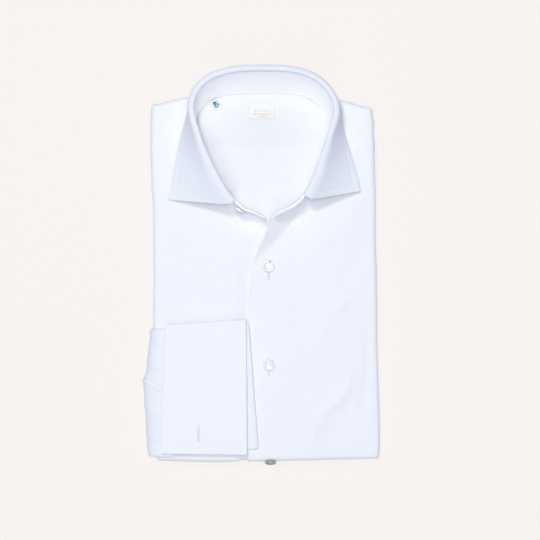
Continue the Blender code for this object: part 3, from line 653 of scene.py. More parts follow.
    def corner(self, side: Callable[[float], Vector], end: Callable[[float], Vector]) -> Vector:
        """Return the plan point where a side curve and an end curve cross."""
        y = end(0.0).y
        for _ in range(6):
            y = end(side(y).x).y
        return Vector((side(y).x, y))


# Cloth


def to_mesh(build: bmesh.types.BMesh, name: str, smooth: bool = True) -> bpy.types.Mesh:
    """Return a bmesh as a mesh, shaded smooth or flat, and free the bmesh."""
    for face in build.faces:
        face.smooth = smooth
    mesh = bpy.data.meshes.new(name)
    build.to_mesh(mesh)
    build.free()
    return mesh


def link_object(name: str, mesh: bpy.types.Mesh, dye: Dye) -> bpy.types.Object:
    """Link a mesh into the scene as an object of one finish that rides on the shirt."""
    thing = bpy.data.objects.new(name, mesh)
    bpy.context.scene.collection.objects.link(thing)
    mesh.materials.append(dye.get())
    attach(thing, "root")
    return thing


def add_bead(build: bmesh.types.BMesh, place: Matrix, size: Row, subdivisions: int = 1) -> None:
    """Add a rounded bead of thread to a bmesh.

    Args:
        build: The bmesh that it goes in.
        place: The matrix that puts it in place.
        size: Its half lengths before that.
        subdivisions: How finely it is divided.
    """
    made = bmesh.ops.create_icosphere(build, subdivisions=subdivisions, radius=1.0)
    bmesh.ops.transform(build, matrix=place @ Matrix.Diagonal((*size, 1.0)), verts=made["verts"])


@dataclass
class Cloth:
    """A sheet of cloth on a grid of points, with a wall, rounded rims and its own UV map."""

    name: str
    grid: Grid
    wall: float
    draft: Draft
    dye: Dye
    rim: float = 0.3

    def normals(self) -> Grid:
        """Return the unit normal at each point of the grid."""
        rows, columns = len(self.grid), len(self.grid[0])
        found: Grid = []
        for i in range(rows):
            line = []
            for j in range(columns):
                up = self.grid[min(i + 1, rows - 1)][j] - self.grid[max(i - 1, 0)][j]
                across = self.grid[i][min(j + 1, columns - 1)] - self.grid[i][max(j - 1, 0)]
                line.append(across.cross(up).normalized())
            found.append(line)
        return found

    def press(self, depth: Callable[[int, int], float]) -> None:
        """Press the cloth in along its normals by a depth for each row and column."""
        normals = self.normals()
        self.grid = [
            [point - normals[i][j] * depth(i, j) for j, point in enumerate(line)]
            for i, line in enumerate(self.grid)
        ]

    def build(self) -> bpy.types.Object:
        """Return the cloth's object: an operator's grid laid on the points, with its wall."""
        rows, columns = len(self.grid), len(self.grid[0])
        build = bmesh.new()
        uv = build.loops.layers.uv.new("cloth")
        bmesh.ops.create_grid(build, x_segments=columns - 1, y_segments=rows - 1, size=0.5)
        widths = lengths_of(self.grid[rows // 2])
        heights = lengths_of([line[columns // 2] for line in self.grid])
        spots: dict[bmesh.types.BMVert, tuple[float, float]] = {}
        for corner in build.verts:
            j = round((corner.co.x + 0.5) * (columns - 1))
            i = round((corner.co.y + 0.5) * (rows - 1))
            spots[corner] = (widths[j] * MM, heights[i] * MM)
            corner.co = self.draft.to_frame(self.grid[i][j])
        for face in build.faces:
            for loop in face.loops:
                loop[uv].uv = spots[loop.vert]
        build.normal_update()
        thing = link_object(self.name, to_mesh(build, self.name), self.dye)
        wall = thing.modifiers.new("wall", "SOLIDIFY")
        wall.thickness = self.wall * MM
        wall.offset = 0.0
        wall.use_even_offset = False
        rim = thing.modifiers.new("rim", "BEVEL")
        rim.width = self.rim * MM
        rim.segments = 2
        rim.limit_method = "ANGLE"
        rim.angle_limit = math.radians(50.0)
        return thing

    def area(self) -> float:
        """Return the area of the cloth's middle, in square metres."""
        total = 0.0
        for low, high in zip(self.grid, self.grid[1:]):
            for j in range(len(low) - 1):
                total += (low[j + 1] - low[j]).cross(high[j] - low[j]).length / 2
                total += (high[j + 1] - high[j]).cross(high[j + 1] - low[j + 1]).length / 2
        return total * MM * MM

    def lay(
        self,
        nodes: Sequence[str],
        area: float | None = None,
    ) -> None:
        """Build the cloth, hide the CAD nodes that it stands for and log its area.

        Args:
            nodes: The CAD nodes that it stands for.
            area: Not used.
        """
        thing = self.build()
        if nodes:
            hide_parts(*nodes)
        LOG.info("%s: %.4f m2 of cloth", thing.name, self.area())

    def face_line(self, points: Iterable[tuple[int, int]], sign: float = 1.0) -> Line:
        """Return points on one of the cloth's faces, each with its normal.

        Args:
            points: The row and column of each point.
            sign: 1 for the face that the grid's normals point to, and -1 for the other.
        """
        normals = self.normals()
        line = []
        for i, j in points:
            normal = normals[i][j] * sign
            line.append((self.grid[i][j] + normal * self.wall / 2, normal))
        return line


@dataclass
class Stitching:
    """Runs of lock stitches, each stitch a small rounded thread that sinks at its ends."""

    draft: Draft
    pitch: float = 2.5
    length: float = 2.0
    thick: float = 0.36
    runs: list[Line] = field(default_factory=list)

    def build(self, name: str) -> None:
        """Build one object with every stitch of every run."""
        build = bmesh.new()
        for line in self.runs:
            self.sew(build, line)
        bmesh.ops.recalc_face_normals(build, faces=build.faces)
        thing = link_object(name, to_mesh(build, name), Dye.THREAD)
        LOG.info("%s: %d runs of stitches", name, len(self.runs))

    def sew(self, build: bmesh.types.BMesh, line: Line) -> None:
        """Sew one run into a bmesh."""
        path = [point for point, _ in line]
        normals = [normal for _, normal in line]
        lengths = lengths_of(path)
        count = int(lengths[-1] / self.pitch)
        margin = (lengths[-1] - count * self.pitch) / 2
        k = 0
        for number in range(count):
            middle = margin + (number + 0.5) * self.pitch
            while k < len(path) - 2 and lengths[k + 1] < middle:
                k += 1
            span = max(lengths[k + 1] - lengths[k], 1e-6)
            share = (middle - lengths[k]) / span
            along = (path[k + 1] - path[k]).normalized()
            normal = normals[k].lerp(normals[k + 1], share).normalized()
            side = normal.cross(along).normalized()
            normal = along.cross(side).normalized()
            turn = Matrix((along, side, normal)).transposed().to_4x4()
            place = self.draft.put(path[k].lerp(path[k + 1], share)) @ turn
            add_bead(build, place, (self.length / 2, self.thick / 2, self.thick / 2))


def over_axis(
    between: Sequence[float], low: bool, high: bool, steps: int
) -> list[tuple[float, float]]:
    """Return (share, over) pairs along a patch, with steps that turn over its marked edges."""
    axis = [(0.0, -k / steps) for k in range(steps, 0, -1)] if low else []
    axis += [(share, 0.0) for share in between]
    if high:
        axis += [(1.0, k / steps) for k in range(1, steps + 1)]
    return axis


@dataclass
class Patch:
    """A four-sided plan patch of the body, with cloth that may turn over its outer edges."""

    draft: Draft
    left: Callable[[list[float]], list[Vector]]
    right: Callable[[list[float]], list[Vector]]
    bottom: Callable[[list[float]], list[Vector]]
    top: Callable[[list[float]], list[Vector]]

    def grid(
        self,
        across: list[tuple[float, float]],
        up: list[tuple[float, float]],
        out: float,
        relief: Level,
    ) -> Grid:
        """Return the cloth's grid over the patch.

        Args:
            across: (share, over) pairs from the left side to the right.
            up: (share, over) pairs from the bottom to the top.
            out: The distance of the cloth's middle off the bed.
            relief: The relief at a plan place.
        """
        s_values = [share for share, _ in across]
        t_values = [share for share, _ in up]
        left, right = self.left(t_values), self.right(t_values)
        bottom, top = self.bottom(s_values), self.top(s_values)
        low, high = (bottom[0], bottom[-1]), (top[0], top[-1])
        found: Grid = []
        for j, (t, over_y) in enumerate(up):
            line = []
            for i, (s, over_x) in enumerate(across):
                base = bottom[i].lerp(top[i], t) + left[j].lerp(right[j], s)
                base -= low[0].lerp(low[1], s).lerp(high[0].lerp(high[1], s), t)
                depth = out + relief(base.x, base.y)
                line.append(self.draft.skin_point(base, (over_x, over_y), depth))
            found.append(line)
        return found


# The collar's shape, which the fronts' neck edge also follows


@dataclass
class CollarForm:
    """Where the neckband stands, how high it is and where the fall's free edge lies."""

    draft: Draft
    wall: float = 1.6
    # The roll: its rise, its tight radius, and its wide one with its share of the leaf.
    roll: float = 2.3
    tight: float = 1.1
    full: float = 11.0
    full_share: float = 0.28
    drop: float = 1.0
    # The leaf's bow at the roll, its flare at the free edge, and its curve's handles.
    bows: Row = (0.0, math.radians(-6.0))
    flares: Row = (math.radians(8.0), math.radians(16.0))
    handles: Row = (0.14, 0.40)
    fall_first: int = 3
    neck_margin: float = 1.4
    middle: Row = (2.0, 105.0)
    band_bow: float = 0.7
    roll_steps: int = 20
    leaf_steps: int = 28
    # The cloth inside the neck rises to the band between these rows, by these shares.
    well_sides: tuple[Row, ...] = ((3.0, 7.0, 1.0), (15.2, 20.4, 0.1))
    well_width: float = 26.0
    well_height: float = 15.0
    well_lip: float = 2.0
    well_ramp: float = 1.4
    well: list[tuple[Vector, float]] = field(default_factory=list)
    shoulder_right: Row = (-46.5, 151.0)
    shoulder_left: Row = (48.5, 149.6)
    # Behind, the band stands on the yoke: how near the shoulders' ends it steps down to it,
    # over what length, and how far from the body's top edge.
    shoulder_step: Row = (8.0, 4.5)
    yoke_reach: float = 16.0
    placket_end: float = 70.0
    # foot x, foot y, top x, top y, top z
    band: tuple[Row, ...] = (
        (4.0, 41.4, 3.3, 42.3, 34.0),
        (-6.5, 46.2, -6.7, 47.2, 37.5),
        (-17.0, 50.0, -16.7, 51.2, 39.5),
        (-26.4, 56.2, -24.0, 58.5, 40.5),
        (-37.2, 67.2, -33.6, 70.8, 41.5),
        (-49.4, 88.2, -45.2, 92.5, 42.0),
        (-59.3, 113.5, -55.4, 116.9, 42.0),
        (-60.2, 136.5, -61.6, 140.4, 42.0),
        (-52.9, 147.2, -57.8, 157.0, 42.0),
        (-41.0, 154.2, -44.8, 168.6, 42.0),
        (-21.6, 157.4, -23.9, 175.0, 42.0),
        (0.5, 158.0, 0.6, 176.1, 42.0),
        (24.4, 157.9, 26.0, 175.0, 42.0),
        (42.8, 153.7, 45.9, 169.1, 42.0),
        (54.7, 144.9, 60.2, 156.8, 42.0),
        (63.0, 131.9, 66.3, 140.4, 42.0),
        (63.0, 113.5, 61.3, 120.1, 42.0),
        (57.4, 96.0, 55.0, 101.1, 42.0),
        (50.0, 79.5, 48.6, 82.9, 41.5),
        (39.8, 61.4, 39.0, 63.2, 41.0),
        (30.6, 52.6, 30.2, 54.2, 41.0),
        (21.4, 47.6, 21.0, 49.6, 40.8),
        (11.5, 43.4, 11.5, 45.6, 40.0),
    )
    # x, y, z
    fall: tuple[Row, ...] = (
        (-85.9, 59.5, 17.4),
        (-82.7, 73.9, 17.4),
        (-78.5, 96.0, 17.3),
        (-73.4, 119.0, 17.0),
        (-66.7, 142.9, 16.8),
        (-62.6, 157.6, 14.5),
        (-50.6, 172.6, 6.0),
        (-26.4, 181.8, 3.5),
        (0.4, 183.2, 3.0),
        (28.2, 181.8, 3.5),
        (50.6, 173.0, 6.0),
        (65.2, 158.0, 14.5),
        (71.4, 141.1, 16.8),
        (77.0, 117.1, 17.4),
        (82.4, 99.6, 18.0),
        (87.2, 82.1, 19.0),
        (90.6, 67.2, 20.0),
    )

    def __post_init__(self) -> None:
        """Read the band's feet once along the two sides of the neck."""
        feet = [Vector(row[:2]) for row in self.band]
        for first, last, share in self.well_sides:
            steps = round((last - first) * 12)
            for k in range(steps + 1):
                place = blend(first, last, k / steps)
                weight = share * ease((place - first) / self.well_ramp)
                weight *= ease((last - place) / self.well_ramp)
                self.well.append((spline_at(feet, place), weight))

    def outward(self, point: Vector) -> Vector:
        """Return the way from the middle of the neck to a point, in plan."""
        return Vector((point.x - self.middle[0], point.y - self.middle[1], 0.0))

    def well_rise(self, x: float, y: float) -> float:
        """Return how far the cloth inside the neck rises toward the band at its two sides."""
        spot = Vector((x, y))
        foot, weight = min(self.well, key=lambda pair: (pair[0] - spot).length_squared)
        away = (spot - foot).length
        outside = (spot - foot).dot(Vector(self.middle) - foot) < 0.0
        if weight == 0.0 or away > self.well_width or outside:
            return 0.0
        clear = ease((away - self.neck_margin) / 0.7)
        side = self.well_height * (1.0 - away / self.well_width) ** 2
        return weight * clear * (side + self.well_lip * math.exp(-away / 3.0))

    def panel_top(self, x: float, y: float) -> float:
        """Return the height of the cloth that the band stands on at a place."""
        draft = self.draft
        behind = read_curve(draft.top_edge, x) - self.yoke_reach
        if y > behind and self.shoulder_right[0] < x < self.shoulder_left[0]:
            step, slope = self.shoulder_step
            on_right = ease((self.shoulder_right[0] + step - x) / slope)
            on_left = ease((x - self.shoulder_left[0] + step) / slope)
            return draft.bed(x, y) + max(on_right, on_left) * draft.sink
        reach = x - self.band[0][0]
        if reach > 0.0:
            relief = max(draft.upper_relief(x, y), 0.0)
        else:
            relief = max(draft.under_relief(x, y), -draft.sink)
        on_placket = 0.0 < reach < draft.placket_side and y < self.placket_end
        wall = draft.placket_wall if on_placket else draft.wall
        return draft.bed(x, y) + draft.gap + wall + relief

    def foot(self, place: float) -> Vector:
        """Return the band's foot at a place counted in the band's rows."""
        foot = spline_at([Vector((row[0], row[1], 0.0)) for row in self.band], place)
        foot.z = self.panel_top(foot.x, foot.y) + self.draft.gap + self.wall * 0.3
        return foot

    def top(self, place: float) -> Vector:
        """Return the band's top, where the fall is sewn on, at a place in its rows."""
        return spline_at([Vector(row[2:5]) for row in self.band], place)

    def band_point(self, place: float, share: float) -> Vector:
        """Return a point part of the way up the band, which bows out a little."""
        foot, top = self.foot(place), self.top(place)
        upper = top - (top - foot).normalized() * (self.drop + self.draft.gap)
        point = foot.lerp(upper, share)
        away = self.outward(point).normalized()
        return point + away * self.band_bow * math.sin(math.pi * min(share, 1.0))

    def fall_section(self, place: float) -> list[Vector]:
        """Return the fall's section at a band place, from its free edge up and over the roll."""
        top, foot = self.top(place), self.foot(place)
        along = self.top(place + 0.25) - self.top(place - 0.25)
        normal = Vector((-along.y, along.x, 0.0)).normalized()
        if normal.dot(self.outward(top)) < 0.0:
            normal.negate()
        free = spline_at([Vector(row) for row in self.fall], place - self.fall_first)
        section = [top - (top - foot).normalized() * self.drop]
        run = free - top - normal * 2.0 * self.roll
        span = math.hypot(run.x, run.y)
        wide = min(max(self.full_share * span, 2.0 * self.roll - self.tight), self.full)
        steep = math.atan2(-run.z, span - 0.4 * wide)
        side = int(free.x > 0.0)
        bow = self.bows[side] * math.sin(2.0 * steep)
        low = steep - self.flares[side] * math.sin(2.0 * steep)
        # The roll: a tight arc up to its crown, then a wide one down to the leaf.
        last_turn = math.pi / 2 + steep - bow
        for step in range(self.roll_steps + 1):
            turn = last_turn * step / self.roll_steps
            radius = self.tight if turn < math.pi / 2 else wide
            up = Vector((0.0, 0.0, self.roll - radius + radius * math.sin(turn)))
            section.append(top + normal * (self.tight - radius * math.cos(turn)) + up)
        # The leaf: one curve from the end of the roll to the free edge.
        start = section.pop()
        run = free - start
        level = Vector((run.x, run.y, 0.0)).normalized()
        near, far = (run.length * share for share in self.handles)
        leave = level * 0.8 + normal * 0.2
        down = Vector((0.0, 0.0, near * math.sin(steep - bow)))
        pull = start + leave * near * math.cos(steep - bow) - down
        rest = free - level * far * math.cos(low) + Vector((0.0, 0.0, far * math.sin(low)))
        for t in even(self.leaf_steps):
            s = 1 - t
            section.append(s**3 * start + 3 * t * s**2 * pull + 3 * t * t * s * rest + t**3 * free)
        return section[::-1]

    def neck_path(self, first: int, last: int) -> list[Vector]:
        """Return the fronts' neck edge between two band rows, inside the band's foot."""
        feet = [Vector((row[0], row[1])) for row in self.band]
        step = 1 if last >= first else -1
        path = []
        for k in range(first, last + step, step):
            along = feet[min(k + 1, len(feet) - 1)] - feet[max(k - 1, 0)]
            normal = Vector((-along.y, along.x)).normalized()
            if normal.dot(Vector(self.middle) - feet[k]) < 0.0:
                normal.negate()
            path.append(feet[k] + normal * self.neck_margin)
        return path


# Sub-assemblies


@dataclass
class Body:
    """The two fronts, the placket, and the yoke and back that show in the neck."""

    draft: Draft
    form: CollarForm
    stitching: Stitching
    wall: float = 0.8
    placket_wall: float = 1.0
    tuck_width: float = 2.2
    tuck_depth: float = 0.75
    stitch_press: float = 0.12
    seam_press: float = 0.05
    turn_steps: int = 12
    front_rows: int = 200
    # Distances of rows from the yoke's seam: on the raised strip, then above it.
    strip: Row = (0.0, 0.3, 0.8, 1.5, 2.2, 3.5, 5.0, 6.2, 6.8, 7.4, 8.6)
    strip_stitches: tuple[int, int] = (2, 8)
    strip_height: float = 0.25
    yoke_rise: Row = tuple(10.0 + 1.1 * k for k in range(36))
    yoke_crease: Crease = Crease(48.0, 118.0, 62.0, 112.0, 2.6, 1.0, 1.0)
    back_creases: tuple[Crease, ...] = (
        Crease(-34.0, 100.0, -12.0, 62.0, 6.0, 0.4, 3.0),
        Crease(38.0, 104.0, 26.0, 70.0, 5.0, 0.45, -2.0, 0.6),
        Crease(2.0, 96.0, 8.0, 60.0, 8.0, -0.3, 2.0),
        Crease(-50.0, 108.0, -38.0, 92.0, 4.0, 0.4, 1.0),
        Crease(52.0, 108.0, 44.0, 92.0, 3.5, 0.4, 1.0),
    )
    # name, middle height, wall, reach past the fronts' turning line, waviness, lift, seed
    plies: tuple[tuple, ...] = (
        ("folded_back", 0.85, 1.5, 4.6, 0.5, 0.0, 11.0),
        ("folded_tail", 2.55, 1.5, 5.1, 0.7, 0.25, 27.0),
        ("folded_side", 4.15, 1.3, 4.4, 0.6, 0.25, 43.0),
        ("folded_inside", None, 6.6, 2.6, 0.3, 0.0, 61.0),
    )

    def build(self) -> None:
        """Build every piece of the body."""
        self.front_right()
        self.front_left()
        self.placket()
        self.yoke()
        self.back()
        self.layers()

    def lay_front(
        self,
        name: str,
        patch: Patch,
        across: list[tuple[float, float]],
        relief: Level,
        node: str,
    ) -> None:
        """Lay one front over the bed, turned over at the bottom, the shoulder and its side.

        Args:
            name: The piece's name.
            patch: The front's plan.
            across: (share, over) pairs from its left side to its right.
            relief: Its relief at a plan place.
            node: The CAD node that it stands for.
        """
        up = over_axis(even(self.front_rows), True, True, self.turn_steps)
        out = self.draft.gap + self.draft.wall - self.wall / 2
        cloth = Cloth(name, patch.grid(across, up, out, relief), self.wall, self.draft, Dye.BODY)
        cloth.lay([node], area=cloth.area())

    def front_right(self) -> None:
        """Build the wearer's right front, which lies under the lap."""
        draft, form = self.draft, self.form
        low = draft.corner(draft.inside_left, draft.inside_bottom)
        high = draft.corner(draft.inside_left, draft.inside_top)
        foot = draft.inside_bottom(draft.under_edge[0][1])
        neck_end = Vector(form.shoulder_right)
        shoulder = draft.inside_top(neck_end.x)
        heights = (foot.y, -120.0, -60.0, 5.0, 20.0, 34.0)
        lap = [Vector((read_curve(draft.under_edge, y), y)) for y in heights]
        inner = spline_path(lap + form.neck_path(0, 7) + [neck_end], 12) + [shoulder]
        patch = Patch(
            draft,
            lambda t: [draft.inside_left(blend(low.y, high.y, k)) for k in t],
            lambda t: shares(inner, t),
            lambda s: [draft.inside_bottom(blend(low.x, foot.x, k)) for k in s],
            lambda s: [draft.inside_top(blend(high.x, shoulder.x, k)) for k in s],
        )
        across = over_axis(even(66), True, False, self.turn_steps)
        self.lay_front("right_front", patch, across, draft.under_relief, "front_right")

    def front_left(self) -> None:
        """Build the wearer's left front, whose inner edge is tucked under the placket."""
        draft, form = self.draft, self.form
        low = draft.corner(draft.inside_right, draft.inside_bottom)
        high = draft.corner(draft.inside_right, draft.inside_top)
        seam = draft.placket_side - self.tuck_width
        foot = draft.inside_bottom(seam)
        neck_end = Vector(form.shoulder_left)
        shoulder = draft.inside_top(neck_end.x)
        neck = form.neck_path(20, 15)
        neck[0] = Vector((seam + 1.3, neck[0].y - 2.3))
        heights = (foot.y, -120.0, -60.0, 0.0, 40.0)
        inner = spline_path([Vector((seam, y)) for y in heights] + neck + [neck_end], 12) + [shoulder]
        patch = Patch(
            draft,
            lambda t: shares(inner, t),
            lambda t: [draft.inside_right(blend(low.y, high.y, k)) for k in t],
            lambda s: [draft.inside_bottom(blend(foot.x, low.x, k)) for k in s],
            lambda s: [draft.inside_top(blend(shoulder.x, high.x, k)) for k in s],
        )
        width = low.x - seam
        marks = [0.0, 0.6, 1.2, 1.7, 2.2, 2.7, 3.4, 4.4]
        lines = marks + [marks[-1] + (width - marks[-1]) * k / 56 for k in range(1, 57)]
        across = over_axis([line / width for line in lines], False, True, self.turn_steps)

        def tucked(x: float, y: float) -> float:
            """Return the front's relief, lower where it goes under the placket."""
            under = ease((draft.placket_side - 0.5 - x) / 1.4)
            return draft.upper_relief(x, y) - self.tuck_depth * under

        self.lay_front("left_front", patch, across, tucked, "front_left")

    def placket(self) -> None:
        """Build the doubled edge of the left front, with its edge stitch and its seam."""
        draft = self.draft
        foot_left = draft.inside_bottom(draft.lap_edge[0][1])
        foot_right = draft.inside_bottom(draft.placket_side)
        neck = self.form.neck_path(22, 20)
        neck[0] = Vector((draft.lap_edge[-1][1], draft.lap_edge[-1][0] + 0.6))
        neck[-1] = Vector((draft.placket_side + 1.1, neck[-1].y))
        neck = spline_path(neck, 12)
        heights = [foot_left.y, -120.0, -60.0, -18.0] + [row[0] for row in draft.lap_edge[3:-1]]
        edge = [Vector((read_curve(draft.lap_edge, y), y)) for y in heights]
        edge = spline_path(edge + [neck[0]], 12)
        side = [Vector((draft.placket_side, y)) for y in (-60.0, 38.0)]
        side = spline_path([foot_right] + side + [neck[-1]], 24)

        def crowd(t: list[float]) -> list[float]:
            """Crowd the rows toward the neck, where the lap is lifted."""
            return [1.0 - (1.0 - k) ** 1.3 for k in t]

        patch = Patch(
            draft,
            lambda t: shares(edge, crowd(t)),
            lambda t: shares(side, crowd(t)),
            lambda s: [foot_left.lerp(foot_right, k) for k in s],
            lambda s: shares(neck, s),
        )
        width = draft.placket_side - draft.lap_edge[0][1]
        lines = crowded(width, (0.0, 0.3, 0.8, 1.5, 1.9, 2.3, 3.2), 1.3)
        across = over_axis([line / width for line in lines], False, False, self.turn_steps)
        up = over_axis(even(220), True, False, self.turn_steps)
        out = draft.gap + draft.placket_wall - self.placket_wall / 2
        grid = patch.grid(across, up, out, draft.upper_relief)
        cloth = Cloth("placket", grid, self.placket_wall, draft, Dye.BODY)
        stitch = 4
        depths = [
            self.stitch_press * bell(line - lines[stitch], 0.5)
            + self.seam_press * bell(width - line, 0.6)
            for line in lines
        ]
        cloth.press(lambda i, j: depths[j])
        self.stitching.runs.append(cloth.face_line((i, stitch) for i in range(4, len(grid) - 3)))
        cloth.lay(["front_placket"])

    def inner_columns(self) -> list[float]:
        """Return the columns of the cloth that shows inside the neck."""
        return [blend(self.draft.yoke_span[0], self.draft.yoke_span[1], k) for k in even(90)]

    def yoke(self) -> None:
        """Build the yoke's inner side, with the raised strip over its lower seam."""
        draft = self.draft
        across = self.inner_columns()
        foot = draft.yoke_seam + draft.gap / 2
        heights = self.strip + self.yoke_rise
        grid: Grid = []
        for height in heights:
            strip = self.strip_height * (1.0 - ease((height - 6.2) / 1.2))
            line = []
            for x in across:
                y = foot + height
                if height > self.yoke_rise[0]:
                    y = min(y, blend(foot, draft.inside_top(x).y - 0.2, height / heights[-1]))
                raised = strip + 0.55 * self.yoke_crease.relief(x, y)
                sag = uneven(x, y, 0.12, 26.0, 18.0, 1.7) + self.form.well_rise(x, y)
                line.append(Vector((x, y, draft.bed(x, y) - self.wall / 2 + raised + sag)))
            grid.append(line)
        radius = draft.bed_radius - self.wall / 2
        for share in even(self.turn_steps)[1:]:
            turn = share * draft.wrap_end
            line = []
            for x in across:
                y = draft.inside_top(x).y
                level = draft.bed(x, y) - draft.bed_radius + radius * math.cos(turn)
                line.append(Vector((x, y - 0.2 + radius * math.sin(turn), level)))
            grid.append(line)
        # The yoke's inside wears a darker poplin: painted shade under the collar.
        cloth = Cloth("yoke_inside", grid, self.wall, draft, Dye.YOKE)
        for row in self.strip_stitches:
            self.stitching.runs.append(cloth.face_line((row, j) for j in range(len(across))))
        cloth.lay(["yoke"])

    def back(self) -> None:
        """Build the inner side of the back that shows below the yoke."""
        draft = self.draft
        rows = [blend(draft.back_foot, draft.yoke_seam - 1.0, share) for share in even(50)]
        rows += [draft.yoke_seam + step for step in (-0.4, 0.3, 0.7, 1.1, 1.6, self.tuck_width)]
        grid: Grid = []
        for y in rows:
            under = self.tuck_depth * ease((y - draft.yoke_seam - 0.4) / 1.2)
            line = []
            for x in self.inner_columns():
                soft = sum(crease.relief(x, y) for crease in self.back_creases)
                soft += uneven(x, y, 0.15, 24.0, 30.0, 5.2)
                soft *= ease((y - 48.0) / 12.0)
                depth = self.wall / 2 + draft.lap_hollow(x, y) + under + 0.1
                soft += self.form.well_rise(x, y)
                line.append(Vector((x, y, draft.bed(x, y) - depth + soft)))
            grid.append(line)
        # The back's inside wears a darker poplin: painted shade under the collar.
        cloth = Cloth("back_inside", grid, self.wall, draft, Dye.INNER)
        cloth.lay(["back_panel"])

    def layers(self) -> None:
        """Build the folded layers whose rounded edges show under the fronts."""
        draft = self.draft
        for name, height, wall, reach, wavy, lift, seed in self.plies:
            grid: Grid = []
            for t in even(96):
                line = []
                for s in even(64):
                    x = blend(-92.0, 99.0, s)
                    for _ in range(3):
                        y = blend(draft.inside_bottom(x).y, draft.inside_top(x).y, t)
                        x = blend(draft.inside_left(y).x, draft.inside_right(y).x, s)
                    side, end = 2.0 * s - 1.0, 2.0 * t - 1.0
                    spread = reach + uneven(x, y, wavy, 40.0, 40.0, seed)
                    x += spread * side * (abs(side) ** 6)
                    y += spread * end * (abs(end) ** 6)
                    if height is None:
                        level = draft.bed(x, y) - 5.0
                    else:
                        edge = max(abs(side), abs(end)) ** 8
                        level = height + uneven(x, y, lift * edge, 30.0, 30.0, seed + 5.0)
                    line.append(Vector((x, y, level)))
                grid.append(line)
            nodes = ["folded_core"] if name == "folded_back" else []
            Cloth(name, grid, wall, draft, Dye.BODY, rim=wall * 0.46).lay(nodes)


